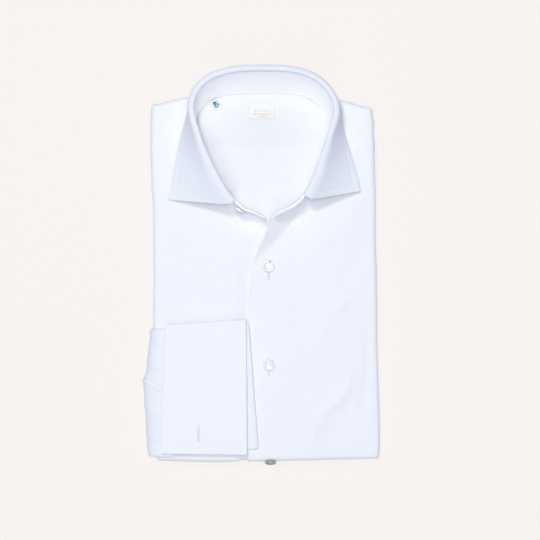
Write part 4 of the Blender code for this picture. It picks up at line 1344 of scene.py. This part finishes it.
@dataclass
class Collar:
    """The neckband and the fall, with their topstitching."""

    draft: Draft
    form: CollarForm
    stitching: Stitching
    wall: float = 1.5
    band_wall: float = 1.4
    band_columns: int = 260
    # Shares of the way up the band, close together at its stitched foot and at its top.
    band_ups: Row = (
        (0.0, 0.015, 0.04, 0.07, 0.09, 0.11, 0.16)
        + tuple(0.16 + 0.74 * k / 14 for k in range(1, 15))
        + (0.93, 0.96, 0.985, 1.0)
    )
    band_stitch: int = 4
    band_pitch: float = 11.0
    # How far the band's ends are cut back at the top and the foot, over what length of the
    # band, and to what power.
    end_cut: Row = (0.24, 6.0, 2.2)
    end_rise: Row = (0.10, 2.5, 2.0)
    band_press: float = 0.14
    fall_press: float = 0.22
    # Distances of the fall's rows from its free edge, and of its columns from both ends.
    marks: Row = (0.0, 0.35, 0.9, 1.8, 3.0, 4.2, 4.9, 5.4, 5.9, 6.8)
    inner_rows: int = 26
    stitch_inset: float = 5.4
    # How long the fall is for one row of the band: all along, then at the free edge and
    # the seam of its right end and of its left end.
    row_width: float = 14.6
    end_widths: tuple[Row, Row] = ((14.8, 14.3), (12.8, 19.2))
    sections: dict[float, list[Vector]] = field(default_factory=dict)

    def build(self) -> None:
        """Build both pieces."""
        self.band()
        self.fall()

    def band(self) -> None:
        """Build the band, with rounded ends and an edge stitch along its foot."""
        ups, count = self.band_ups, self.band_columns
        last = len(self.form.band) - 1
        grid: Grid = []
        for k in range(count + 1):
            # Crowd the columns toward the ends, which are cut round.
            share = k / count
            place = last * blend(share, 0.5 - 0.5 * math.cos(math.pi * share), 0.35)
            from_end = min(place, last - place) * self.band_pitch
            cut, rise = (
                depth * max(0.0, 1.0 - from_end / reach) ** power
                for depth, reach, power in (self.end_cut, self.end_rise)
            )
            grid.append([self.form.band_point(place, blend(rise, 1.0 - cut, up)) for up in ups])
        grid = [list(line) for line in zip(*grid)]
        # The band wears the brighter, glowing poplin: painted light on its steep inner face.
        cloth = Cloth("neckband", grid, self.band_wall, self.draft, Dye.BAND, rim=0.4)
        depths = [self.band_press * bell((up - ups[self.band_stitch]) * 24.0, 0.6) for up in ups]
        cloth.press(lambda i, j: depths[i])
        run = [(self.band_stitch, j) for j in range(3, count - 2)]
        self.stitching.runs += [cloth.face_line(run, sign) for sign in (1.0, -1.0)]
        cloth.lay(["collar_stand"], cloth.area())

    def fall(self) -> None:
        """Build the fall, with topstitching parallel to its three free edges."""
        form, marks = self.form, self.marks
        first, last = form.fall_first, form.fall_first + len(form.fall) - 1
        middle = (first + last) / 2
        columns = crowded((last - first) * self.row_width, marks, 3.0)
        levels = len(marks) + self.inner_rows
        grid: Grid = []
        for column in columns:
            nominal = first + column / self.row_width
            inward = min(nominal - first, last - nominal)
            free_width, seam_width = self.end_widths[int(nominal > middle)]
            line = []
            for level in range(levels):
                width = blend(free_width, seam_width, level / (levels - 1))
                scale = blend(self.row_width / width, 1.0, ease(inward / 1.2))
                place = first + inward * scale if nominal < middle else last - inward * scale
                section = self.section(round(place, 4))
                if level < len(marks):
                    distance = marks[level]
                else:
                    rest = 1.0 - (level - len(marks) + 1) / self.inner_rows
                    distance = blend(marks[-1], lengths_of(section)[-1], 1.0 - rest**1.5)
                line.append(resample(section, [distance])[0])
            grid.append(line)
        grid = [list(line) for line in zip(*grid)]
        # The fall wears the darker poplin: painted shade on its sloping leaves.
        cloth = Cloth("collar_fall_cloth", grid, self.wall, self.draft, Dye.FALL, rim=0.45)
        facing = cloth.normals()[len(marks)][len(columns) // 2]
        sign = math.copysign(1.0, facing.dot(Vector((0.0, 1.0, 0.3))))

        def depth(i: int, j: int) -> float:
            """Return how deep the topstitching presses the fall at a row and column."""
            nearest = min(columns[j], columns[-1] - columns[j])
            if i < len(marks):
                nearest = min(nearest, marks[i])
            return sign * self.fall_press * bell(nearest - self.stitch_inset, 0.55)

        cloth.press(depth)
        stitch, right = marks.index(self.stitch_inset), columns.index(self.stitch_inset)
        left = len(columns) - 1 - right
        up = [(i, right) for i in range(levels - 9, stitch, -1)]
        along = [(stitch, j) for j in range(right, left + 1)]
        down = [(i, left) for i in range(stitch + 1, levels - 8)]
        self.stitching.runs += [cloth.face_line(run, sign) for run in (up, along, down)]
        flat = (0.445, 0.070)
        area = min(cloth.area(), flat[0] * flat[1])
        cloth.lay(["collar_fall"], area)

    def section(self, place: float) -> list[Vector]:
        """Return the fall's section at a place, worked out once for each place."""
        if place not in self.sections:
            self.sections[place] = self.form.fall_section(place)
        return self.sections[place]


@dataclass
class DoubleCuff:
    """A cuff turned back on itself, with topstitching round its leaf."""

    draft: Draft
    stitching: Stitching
    name: str
    node: str
    corners: tuple[Row, Row, Row, Row]
    base: float
    wall: float = 1.0
    # The room between the cuff's two layers.
    inside: float = 0.7
    round_corner: float = 2.3
    setback: float = 6.0
    fold_lift: float = 0.5
    fold_reach: float = 1.3
    lift_fade: float = 0.8
    lift_reach: float = 14.0
    # How far the leaf's free edge springs up, and from how near its edge.
    spring: float = 0.8
    spring_reach: float = 9.0
    stitch_press: float = 0.18
    turn_steps: int = 10
    # Distances of rows and columns from the cuff's edges.
    marks: Row = (0.0, 0.3, 0.7, 1.2, 1.8, 2.5, 3.4, 4.2, 4.6, 5.0, 6.0)
    pitch: float = 2.2
    stitch_inset: float = 4.6
    rests_on: str = "right_front"
    dye: Dye = Dye.COLLAR

    def build(self) -> None:
        low_left, low_right, high_right, high_left = (Vector(corner) for corner in self.corners)
        height = (high_left - low_left).length
        depth = (high_right - high_left).length
        fold = (self.wall + self.inside) / 2
        rows = [row / height for row in crowded(height, self.marks, self.pitch)]
        columns = [column / depth for column in crowded(depth, self.marks, self.pitch)]
        grid: Grid = []
        for share in rows:
            left = low_left.lerp(high_left, share)
            right = low_right.lerp(high_right, share)
            from_end = min(share, 1.0 - share) * height
            short = max(0.0, self.round_corner - from_end)
            pull = self.round_corner - math.sqrt(max(0.0, self.round_corner**2 - short**2))
            away = (right - left).normalized()
            right = right - away * (pull + self.wall / 2 + self.fold_reach)
            lift = self.fold_lift * (1.0 - self.lift_fade * share)
            band_left = left + away * self.setback
            leaf_left = left + away * pull * 0.6
            line = []
            for column in columns:
                up = lift * self.rise(column * depth, depth)
                line.append(self.lie(band_left.lerp(right, column), up))
            for step in range(1, self.turn_steps):
                angle = math.pi * step / self.turn_steps
                plan = right + away * self.fold_reach * math.sin(angle)
                point = self.lie(right, fold * (1.0 - math.cos(angle)) + lift)
                line.append(Vector((plan.x, plan.y, point.z)))
            for column in reversed(columns):
                spring = self.spring * (1.0 - ease(column * depth / self.spring_reach))
                up = 2 * fold + spring + lift * self.rise(column * depth, depth)
                line.append(self.lie(leaf_left.lerp(right, column), up))
            grid.append(line)
        cloth = Cloth(self.name, grid, self.wall, self.draft, self.dye, rim=0.35)
        leaf_first = len(columns) + self.turn_steps - 1

        def press(i: int, j: int) -> float:
            """Return how deep the topstitching presses the leaf at a row and column."""
            if j < leaf_first:
                return 0.0
            column = columns[len(columns) - 1 - (j - leaf_first)] * depth
            row = min(rows[i], 1.0 - rows[i]) * height
            nearest = min(row, column, depth - column)
            return -self.stitch_press * bell(nearest - self.stitch_inset, 0.5)

        cloth.press(press)
        inset = self.marks.index(self.stitch_inset)
        low, high = inset, len(rows) - 1 - inset
        right, left = leaf_first + inset, len(grid[0]) - 1 - inset
        upward = math.copysign(1.0, cloth.normals()[low][right].z)
        for run in (
            [(i, left) for i in range(low, high + 1)],
            [(i, right) for i in range(low, high + 1)],
            [(low, j) for j in range(right, left + 1)],
            [(high, j) for j in range(right, left + 1)],
        ):
            self.stitching.runs.append(cloth.face_line(run, upward))
        cloth.lay([self.node])

    def rise(self, column: float, depth: float) -> float:
        """Return the share of its lift that the cuff has at a column, full at its turned fold."""
        return ease((column - depth + self.lift_reach) / self.lift_reach)

    def lie(self, plan: Vector, up: float) -> Vector:
        """Return a point of the cuff that lies over a plan place."""
        soft = uneven(plan.x, plan.y, 0.12, 30.0, 30.0, self.base)
        height = self.draft.bed(plan.x, plan.y) + self.base + self.wall / 2 + soft
        return Vector((plan.x, plan.y, height + up))

    def top_at(self, x: float, y: float) -> float:
        """Return the height of the leaf's outer face at a plan place."""
        return self.lie(Vector((x, y)), self.wall + self.inside).z + self.wall / 2


@dataclass
class Sleeve:
    """The pressed sleeve that comes round the side from below and ends in its cuff."""

    draft: Draft
    wall: float = 2.6
    ply: float = 1.1
    edge: tuple[Row, ...] = (
        (-177.0, -104.4), (-166.0, -105.8), (-154.0, -106.5), (-139.0, -107.0), (-122.0, -108.1),
        (-111.0, -109.1), (-105.5, -109.1), (-101.5, -107.2), (-91.0, -105.5), (-78.0, -104.5),
        (-64.0, -103.4), (-59.0, -102.7),
    )
    end: float = -81.0
    span: Row = (-176.5, -59.5)
    fold_round: float = 1.6
    wrap_end: float = math.radians(138.0)
    rows: int = 150
    flat_steps: int = 10
    turn_steps: int = 33
    pleats: tuple[Crease, ...] = (
        Crease(-109.0, -101.5, -90.0, -113.5, 1.3, 1.15, 0.0, 0.5),
        Crease(-109.0, -107.0, -91.0, -117.5, 1.2, 0.95, 0.6, 0.5),
        Crease(-107.0, -104.0, -92.0, -112.0, 1.0, -0.6),
        Crease(-107.0, -151.5, -92.0, -152.0, 1.0, -0.55, 0.0, 0.6),
        Crease(-104.0, -66.0, -92.0, -92.0, 4.0, -0.7, 1.0),
        Crease(-106.0, -88.0, -90.0, -96.0, 3.0, 0.6, 0.0),
        Crease(-108.0, -128.0, -92.0, -142.0, 4.0, 0.6, 1.0),
        Crease(-106.0, -160.0, -92.0, -168.0, 4.0, -0.5, 1.0),
    )

    def build(self) -> None:
        """Build the sleeve as one cloth that goes over, round its two folds and back under."""
        half = (self.wall - self.ply) / 2
        rows = even(self.rows)
        grid = [self.section(share, half, self.pleats) for share in rows]
        grid += [self.section(share, -half, ()) for share in reversed(rows)]
        grid.append([point.copy() for point in grid[0]])
        # The sleeve wears the darker poplin: painted shade.
        cloth = Cloth("sleeve_cloth", grid, self.ply, self.draft, Dye.FALL)
        cloth.lay(["sleeve_right"])

    def section(self, share: float, offset: float, pleats: Sequence[Crease]) -> list[Vector]:
        """Return one line of the sleeve from under the cuff round to the surface.

        Args:
            share: How far up the sleeve's width the line is.
            offset: The ply's distance from the sleeve's middle, drawn in at its two folds.
            pleats: Creases that show on this ply.
        """
        draft = self.draft
        out = draft.gap + draft.wall + draft.gap + self.wall / 2
        from_fold = min(share, 1.0 - share) * (self.span[1] - self.span[0])
        round_in = max(0.0, 1.0 - from_fold / self.fold_round)
        offset *= math.sqrt(max(0.0, 1.0 - round_in * round_in))
        y = blend(self.span[0], self.span[1], share)
        start = draft.inside_left(y)
        height = draft.bed(start.x, y)
        line = []
        for step in range(self.flat_steps):
            x = blend(self.end, start.x, step / self.flat_steps)
            lift = sum(pleat.relief(x, y) for pleat in pleats)
            line.append(Vector((x, y, draft.bed(x, y) + out + offset + lift)))
        reach = start.x - read_curve(self.edge, y) - self.wall / 2
        for share_round in even(self.turn_steps):
            turn = share_round * self.wrap_end
            away = Vector((-math.sin(turn), 0.0, math.cos(turn)))
            x = start.x - reach * math.sin(turn)
            lift = sum(pleat.relief(x, y) for pleat in pleats)
            level = height - draft.bed_radius + (draft.bed_radius + out) * math.cos(turn)
            line.append(Vector((x, y, level)) + away * (offset + lift))
        return line


@dataclass
class Buttons:
    """Four-hole shell buttons, their thread, and the buttonholes under them."""

    draft: Draft
    form: CollarForm
    radius: float = 5.5
    thick: float = 2.2
    hole: float = 0.75
    hole_ring: float = 1.5
    # The row of buttons: its x, its first y, its pitch and its buttonholes' lengths.
    line: float = 6.6
    first: float = -1.4
    pitch: float = 90.6
    holes: Row = (17.0, 15.0)
    fold_turn: float = math.radians(68.0)
    band_row: float = 2.2
    band_up: float = 0.62

    def build(self) -> None:
        """Build each button at its place, with its thread and its buttonhole."""
        draft = self.draft
        top = draft.gap + draft.placket_wall + draft.gap + 0.1
        for number in (1, 2):
            x = self.line + 0.3 * (number - 1)
            y = self.first - self.pitch * (number - 1)
            low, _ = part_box(f"button_{number}")
            foot = Vector((x, y, low.z / MM))
            self.button(f"button_{number}", foot, Vector((0.0, 0.0, 1.0)), 0.35 * number)
            length = self.holes[number - 1]
            middle = (x - 0.2, y + 4.0 - length / 2)
            make_buttonhole(draft, f"buttonhole_{number}", middle, length, self.placket_top)
        inner = draft.inside_bottom(self.line + 1.7)
        facing = Vector((0.0, -math.sin(self.fold_turn), math.cos(self.fold_turn)))
        centre = Vector((inner.x, inner.y, draft.bed(inner.x, inner.y) - draft.bed_radius))
        self.button("button_3", centre + facing * (draft.bed_radius + top), facing, 0.2)
        place = self.band_row
        low = self.form.band_point(place, self.band_up - 0.15)
        high = self.form.band_point(place, self.band_up + 0.15)
        beside = self.form.band_point(place + 0.5, self.band_up)
        before = self.form.band_point(place - 0.5, self.band_up)
        facing = (high - low).cross(beside - before).normalized()
        if facing.y > 0.0:
            facing.negate()
        foot = (low + high) / 2 + facing * (self.form.wall / 2 + draft.gap + 0.5)
        self.button("button_collar", foot, facing, 0.6)

    def button(self, node: str, foot: Vector, facing: Vector, turn: float) -> None:
        """Build one button and its thread.

        Args:
            node: The CAD node that it stands for.
            foot: The middle of its back, in the drafting frame.
            facing: The way that its front faces.
            turn: How far it is turned about its own middle, in radians.
        """
        top, rim = self.thick, self.radius
        profile = (
            (0.0, 1.15), (2.7, 1.15), (3.1, 1.25), (3.5, 1.6), (3.8, top - 0.15), (4.1, top),
            (4.6, top), (5.0, top - 0.15), (rim - 0.1, 1.75), (rim, 1.35), (rim - 0.15, 0.95),
            (4.9, 0.35), (4.2, 0.05), (3.6, 0.0), (0.0, 0.0),
        )
        build = bmesh.new()
        chain = [build.verts.new((radius, 0.0, height)) for radius, height in profile]
        edges = [build.edges.new(pair) for pair in zip(chain, chain[1:])]
        bmesh.ops.spin(
            build, geom=chain + edges, axis=(0, 0, 1), angle=math.tau, steps=56, use_merge=True
        )
        bmesh.ops.remove_doubles(build, verts=build.verts, dist=1e-4)
        bmesh.ops.recalc_face_normals(build, faces=build.faces)
        solid = to_mesh(build, node + "_shell", smooth=False)
        drills = bmesh.new()
        for k in range(4):
            angle = math.radians(45.0 + 90.0 * k)
            made = bmesh.ops.create_cone(
                drills,
                cap_ends=True,
                segments=20,
                radius1=self.hole,
                radius2=self.hole,
                depth=4 * self.thick,
            )
            shift = Vector((math.cos(angle), math.sin(angle), 0.0)) * self.hole_ring
            bmesh.ops.translate(drills, verts=made["verts"], vec=shift)
        shell = cut_mesh(solid, to_mesh(drills, node + "_drill", smooth=False))
        place = self.draft.put(foot)
        place = place @ Vector((0, 0, 1)).rotation_difference(facing).to_matrix().to_4x4()
        place = place @ Matrix.Rotation(turn, 4, "Z")
        # The button turned down at the bottom fold gets the darker shell: painted shade.
        dye = Dye.SHELL_RIM if node == "button_3" else Dye.SHELL
        thing = link_object(node + "_shell", shell, dye)
        thing.data.transform(place)
        thing.data.shade_smooth()
        thing.data.set_sharp_from_angle(angle=math.radians(38.0))
        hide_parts(node)
        self.thread(node + "_thread", place)

    def thread(self, name: str, place: Matrix) -> None:
        """Build the two bars of thread through the holes and the shank under the button."""
        build = bmesh.new()
        reach = self.hole_ring * math.cos(math.radians(45.0))
        for bar in (-1.0, 1.0):
            for strand in (-0.22, 0.22):
                spot = Matrix.Translation((0.0, bar * reach + strand, 1.22))
                add_bead(build, spot, (reach + 0.35, 0.22, 0.28), subdivisions=2)
        made = bmesh.ops.create_cone(
            build, cap_ends=True, segments=16, radius1=1.3, radius2=1.1, depth=1.2
        )
        bmesh.ops.translate(build, verts=made["verts"], vec=(0.0, 0.0, -0.35))
        bmesh.ops.transform(build, matrix=place, verts=build.verts)
        thing = link_object(name, to_mesh(build, name), Dye.THREAD)

    def placket_top(self, x: float, y: float) -> float:
        """Return the height of the placket's outer face at a plan place."""
        draft = self.draft
        return draft.bed(x, y) + draft.gap + draft.placket_wall + draft.upper_relief(x, y)


def cut_mesh(solid: bpy.types.Mesh, drill: bpy.types.Mesh) -> bpy.types.Mesh:
    """Return a solid's mesh with a drill's shapes cut out of it."""
    blank = bpy.data.objects.new("blank", solid)
    tool = bpy.data.objects.new("drill", drill)
    for thing in (blank, tool):
        bpy.context.scene.collection.objects.link(thing)
    cut = blank.modifiers.new("holes", "BOOLEAN")
    cut.operation = "DIFFERENCE"
    cut.object = tool
    bpy.context.view_layer.update()
    found = bpy.data.meshes.new_from_object(blank.evaluated_get(bpy.context.evaluated_depsgraph_get()))
    bpy.data.objects.remove(blank)
    bpy.data.objects.remove(tool)
    found.materials.clear()
    return found


def make_buttonhole(
    draft: Draft, name: str, middle: tuple[float, float], length: float, level: Level
) -> None:
    """Build a worked buttonhole along Y: two rows of satin stitches, bar tacks and the cut.

    Args:
        draft: The draft, for the frame.
        name: The piece's name.
        middle: The plan place of the hole's middle.
        length: Its whole length.
        level: The height of the cloth's outer face at a plan place.
    """
    pitch = 0.62
    count = int(length / pitch)
    # Each bead's place across and along, and its half width and half length.
    stitches = [
        (row * 0.7, (k - (count - 1) / 2) * pitch, 0.6, 0.34)
        for row in (-1.0, 1.0)
        for k in range(count)
    ]
    stitches += [(0.0, end * length / 2, 1.2, 0.4) for end in (-1.0, 1.0)]
    cuts = [(0.0, (k - count / 2) * pitch, 0.17, 0.4) for k in range(1, count)]
    for piece, dye, beads, height in (
        (name, Dye.THREAD, stitches, 0.1),
        (name + "_cut", Dye.HOLE, cuts, 0.06),
    ):
        build = bmesh.new()
        for side, along, wide, long in beads:
            x, y = middle[0] + side, middle[1] + along
            add_bead(build, draft.put(Vector((x, y, level(x, y)))), (wide, long, height))
        mesh = to_mesh(build, piece)
        link_object(piece, mesh, dye)


@dataclass
class Labels:
    """The woven neck label, with a plain ornament, and the size tag, with a plain number."""

    draft: Draft
    wall: float = 0.6
    arch: float = 0.12
    tag_centre: Row = (-42.4, 147.2)
    tag_side: float = 8.0
    size_number: str = "40"

    def build(self) -> None:
        """Build the label, its ornament, the tag and its number."""
        self.label()
        self.ornament()
        self.tag()

    def label(self) -> None:
        """Build the label's ribbon as one sheet, arched a little across."""
        draft = self.draft
        x0, y0, x1, y1 = draft.label_box
        grid: Grid = []
        for t in even(16):
            line = []
            for s in even(24):
                x, y = blend(x0, x1, s), blend(y0, y1, t)
                rise = self.arch * math.sin(math.pi * s) + 0.05 * math.sin(9.0 * s + 5.0 * t)
                line.append(Vector((x, y, draft.bed(x, y) + draft.gap + self.wall / 2 + rise)))
            grid.append(line)
        cloth = Cloth("neck_label_ribbon", grid, self.wall, draft, Dye.RIBBON, rim=0.2)
        cloth.lay(["neck_label"])

    def ornament(self) -> None:
        """Build the label's ornament: a row of lozenges over two fine rules."""
        draft = self.draft
        middle = (draft.label_box[0] + draft.label_box[2]) / 2 + 0.3
        top = draft.label_box[1] + 7.7
        build = bmesh.new()

        def mark(x: float, y: float, width: float, height: float, turn: float) -> None:
            """Lay one flat four-sided mark on the ribbon."""
            made = bmesh.ops.create_cone(
                build, cap_ends=True, segments=4, radius1=0.5, radius2=0.46, depth=0.12
            )
            share = (x - draft.label_box[0]) / (draft.label_box[2] - draft.label_box[0])
            rise = self.arch * math.sin(math.pi * share)
            level = draft.bed(x, y) + draft.gap + self.wall + rise + 0.07
            place = draft.put(Vector((x, y, level))) @ Matrix.Diagonal((width, height, 1.0, 1.0))
            place = place @ Matrix.Rotation(turn, 4, "Z")
            bmesh.ops.transform(build, matrix=place, verts=made["verts"])

        for k in range(5):
            mark(middle + (k - 2) * 3.1, top, 1.7, 2.2, 0.0)
        for y, length, height in ((top - 3.2, 17.5, 1.5), (top - 5.6, 8.5, 1.3)):
            dots = int(length / 0.9)
            for k in range(dots):
                mark(middle + (k - (dots - 1) / 2) * 0.9, y, 1.0, height, math.pi / 4)
        mesh = to_mesh(build, "label_ornament", smooth=False)
        thing = link_object("label_ornament", mesh, Dye.GOLD)

    def tag(self) -> None:
        """Build the size tag and its number."""
        draft = self.draft
        half = self.tag_side / math.sqrt(2.0)
        cx, cy = self.tag_centre
        grid: Grid = []
        for t in even(8):
            line = []
            for s in even(8):
                across, up = s - 0.5, t - 0.5
                x, y = cx + (across - up) * half, cy + (across + up) * half
                line.append(Vector((x, y, draft.bed(x, y) + draft.gap + self.wall / 2 + 0.1)))
            grid.append(line)
        cloth = Cloth("size_tag_ribbon", grid, self.wall, draft, Dye.TAG, rim=0.2)
        cloth.lay(["size_tag"], 0.000064)
        words = bpy.data.curves.new("size_number", "FONT")
        words.body = self.size_number
        words.align_x = "CENTER"
        words.align_y = "CENTER"
        words.size = 6.2
        words.offset = 0.16
        words.extrude = 0.08
        source = bpy.data.objects.new("size_number_text", words)
        bpy.context.scene.collection.objects.link(source)
        bpy.context.view_layer.update()
        evaluated = source.evaluated_get(bpy.context.evaluated_depsgraph_get())
        mesh = bpy.data.meshes.new_from_object(evaluated)
        bpy.data.objects.remove(source)
        mesh.materials.clear()
        level = draft.bed(cx, cy) + draft.gap + self.wall + 0.16
        place = draft.put(Vector((cx, cy, level)))
        mesh.transform(place @ Matrix.Rotation(math.radians(-45.0), 4, "Z"))
        number = link_object("size_number", mesh, Dye.INK)


# Studio


@dataclass
class Studio:
    """A pale floor, soft light from the upper left and the camera straight above."""

    centre: Row = (7.82, -5.06)
    height: float = 2000.0
    level: float = 14.0
    view_width: float = 496.8
    sensor: float = 36.0
    floor_colour: str = "F7F2EF"
    floor_half: float = 4.0
    floor_drop: float = 0.0004
    floor_glow: float = 0.90
    sky: str = "B2CBFA"
    sky_strength: float = 0.40
    # name, place, size in metres, watts, colour
    lamps: tuple[tuple[str, Row, float, float, str], ...] = (
        ("overhead", (-0.05, 0.05, 2.4), 0.9, 23.7, "FFF9E9"),
        ("key", (-0.38, 0.85, 2.05), 0.4, 16.0, "FFF9E9"),
        ("front", (0.0, -1.2, 1.8), 1.8, 8.0, "FFF9E9"),
    )

    def build(self, draft: Draft) -> None:
        """Build the camera, the floor and the lights."""
        scene = bpy.context.scene
        scene.view_settings.view_transform = "Standard"
        scene.view_settings.look = "None"
        self.camera(scene, draft)
        self.floor()
        self.world(scene)
        self.lights()

    def camera(self, scene: bpy.types.Scene, draft: Draft) -> None:
        """Hang the camera above the shirt, looking straight down."""
        lens = bpy.data.cameras.new("camera")
        lens.sensor_width = self.sensor
        lens.lens = self.sensor * (self.height - self.level) / self.view_width
        lens.clip_end = 20.0
        thing = bpy.data.objects.new("camera", lens)
        thing.location = draft.to_frame(Vector((self.centre[0], self.centre[1], self.height)))
        scene.collection.objects.link(thing)
        scene.camera = thing

    def floor(self) -> None:
        """Build the floor: pale paper that glows evenly, so that it stays clear of shadows."""
        build = bmesh.new()
        bmesh.ops.create_grid(build, x_segments=8, y_segments=8, size=self.floor_half)
        bmesh.ops.translate(build, verts=build.verts, vec=(0.0, 0.0, -self.floor_drop))
        mesh = to_mesh(build, "floor", smooth=False)
        thing = bpy.data.objects.new("floor", mesh)
        bpy.context.scene.collection.objects.link(thing)
        paper = {
            "Roughness": 0.9,
            "Specular IOR Level": 0.1,
            "Base Color": (0.10, 0.10, 0.10, 1.0),
            "Emission Color": srgb(self.floor_colour),
            "Emission Strength": self.floor_glow,
        }
        material, _ = new_material("pale_paper", paper)
        mesh.materials.append(material)

    def world(self, scene: bpy.types.Scene) -> None:
        """Set the sky: cool soft light, seen by the camera as the floor's colour."""
        world = bpy.data.worlds.new("studio")
        world.use_nodes = True
        tree = world.node_tree
        sky = tree.nodes["Background"]
        sky.inputs["Color"].default_value = srgb(self.sky)
        sky.inputs["Strength"].default_value = self.sky_strength
        seen = add_node(
            tree, "ShaderNodeBackground", {"Color": srgb(self.floor_colour), "Strength": 1.0}, {}
        )
        path = add_node(tree, "ShaderNodeLightPath", {}, {})
        mixed = add_node(
            tree,
            "ShaderNodeMixShader",
            {},
            {"0": path.outputs["Is Camera Ray"], "1": sky.outputs[0], "2": seen.outputs[0]},
        )
        tree.links.new(mixed.outputs[0], tree.nodes["World Output"].inputs["Surface"])
        scene.world = world

    def lights(self) -> None:
        """Hang the soft boxes: one overhead, the key up and to the left, and a weak front."""
        for name, place, size, power, colour in self.lamps:
            lamp = bpy.data.lights.new(name, "AREA")
            lamp.shape = "DISK"
            lamp.size = size
            lamp.energy = power
            lamp.color = srgb(colour)[:3]
            thing = bpy.data.objects.new(name, lamp)
            thing.location = place
            aim = Vector((0.0, 0.0, 0.0)) - thing.location
            thing.rotation_euler = aim.to_track_quat("-Z", "Y").to_euler()
            bpy.context.scene.collection.objects.link(thing)


def find_shift(draft: Draft) -> Vector:
    """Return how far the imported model's frame lies from the drafting frame, in millimetres."""
    low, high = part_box("neck_label")
    x0, y0, x1, y1 = draft.label_box
    middle = (low + high) / 2 / MM
    return Vector((middle.x - (x0 + x1) / 2, middle.y - (y0 + y1) / 2, 0.0))


def clear_startup() -> None:
    """Remove the startup file's own objects."""
    for name in ("Cube", "Light", "Camera"):
        thing = bpy.data.objects.get(name)
        if thing is not None:
            bpy.data.objects.remove(thing)


def main() -> None:
    """Load the frame, dress the shirt in order and light it."""
    logging.basicConfig(level=logging.INFO, format="%(message)s")
    clear_startup()
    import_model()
    draft = Draft()
    draft.shift = find_shift(draft)
    form = CollarForm(draft)
    stitching = Stitching(draft)
    Body(draft, form, stitching).build()
    Collar(draft, form, stitching).build()
    base = draft.gap + draft.placket_wall + draft.gap
    # The lower cuff wears the darker poplin: painted shade under the upper cuff.
    lower = DoubleCuff(
        draft,
        stitching,
        "lower_cuff",
        "cuff_left",
        ((-70.3, -174.2), (-2.6, -168.8), (-11.4, -52.4), (-79.5, -58.3)),
        base,
        fold_lift=0.0,
        fold_reach=2.3,
        dye=Dye.FALL,
    )
    lower.build()
    depth = 2 * lower.wall + lower.inside
    upper = DoubleCuff(
        draft,
        stitching,
        "upper_cuff",
        "cuff_right",
        ((-92.0, -173.3), (-12.8, -174.5), (-13.7, -50.4), (-88.0, -55.9)),
        base + depth + draft.gap,
        fold_lift=1.3,
        rests_on="lower_cuff",
    )
    upper.build()
    make_buttonhole(draft, "link_hole", (-57.6, -155.6), 14.0, upper.top_at)
    Sleeve(draft).build()
    Buttons(draft, form).build()
    Labels(draft).build()
    stitching.build("topstitching")
    Studio().build(draft)
    bpy.context.view_layer.update()


if __name__ == "__main__":
    main()
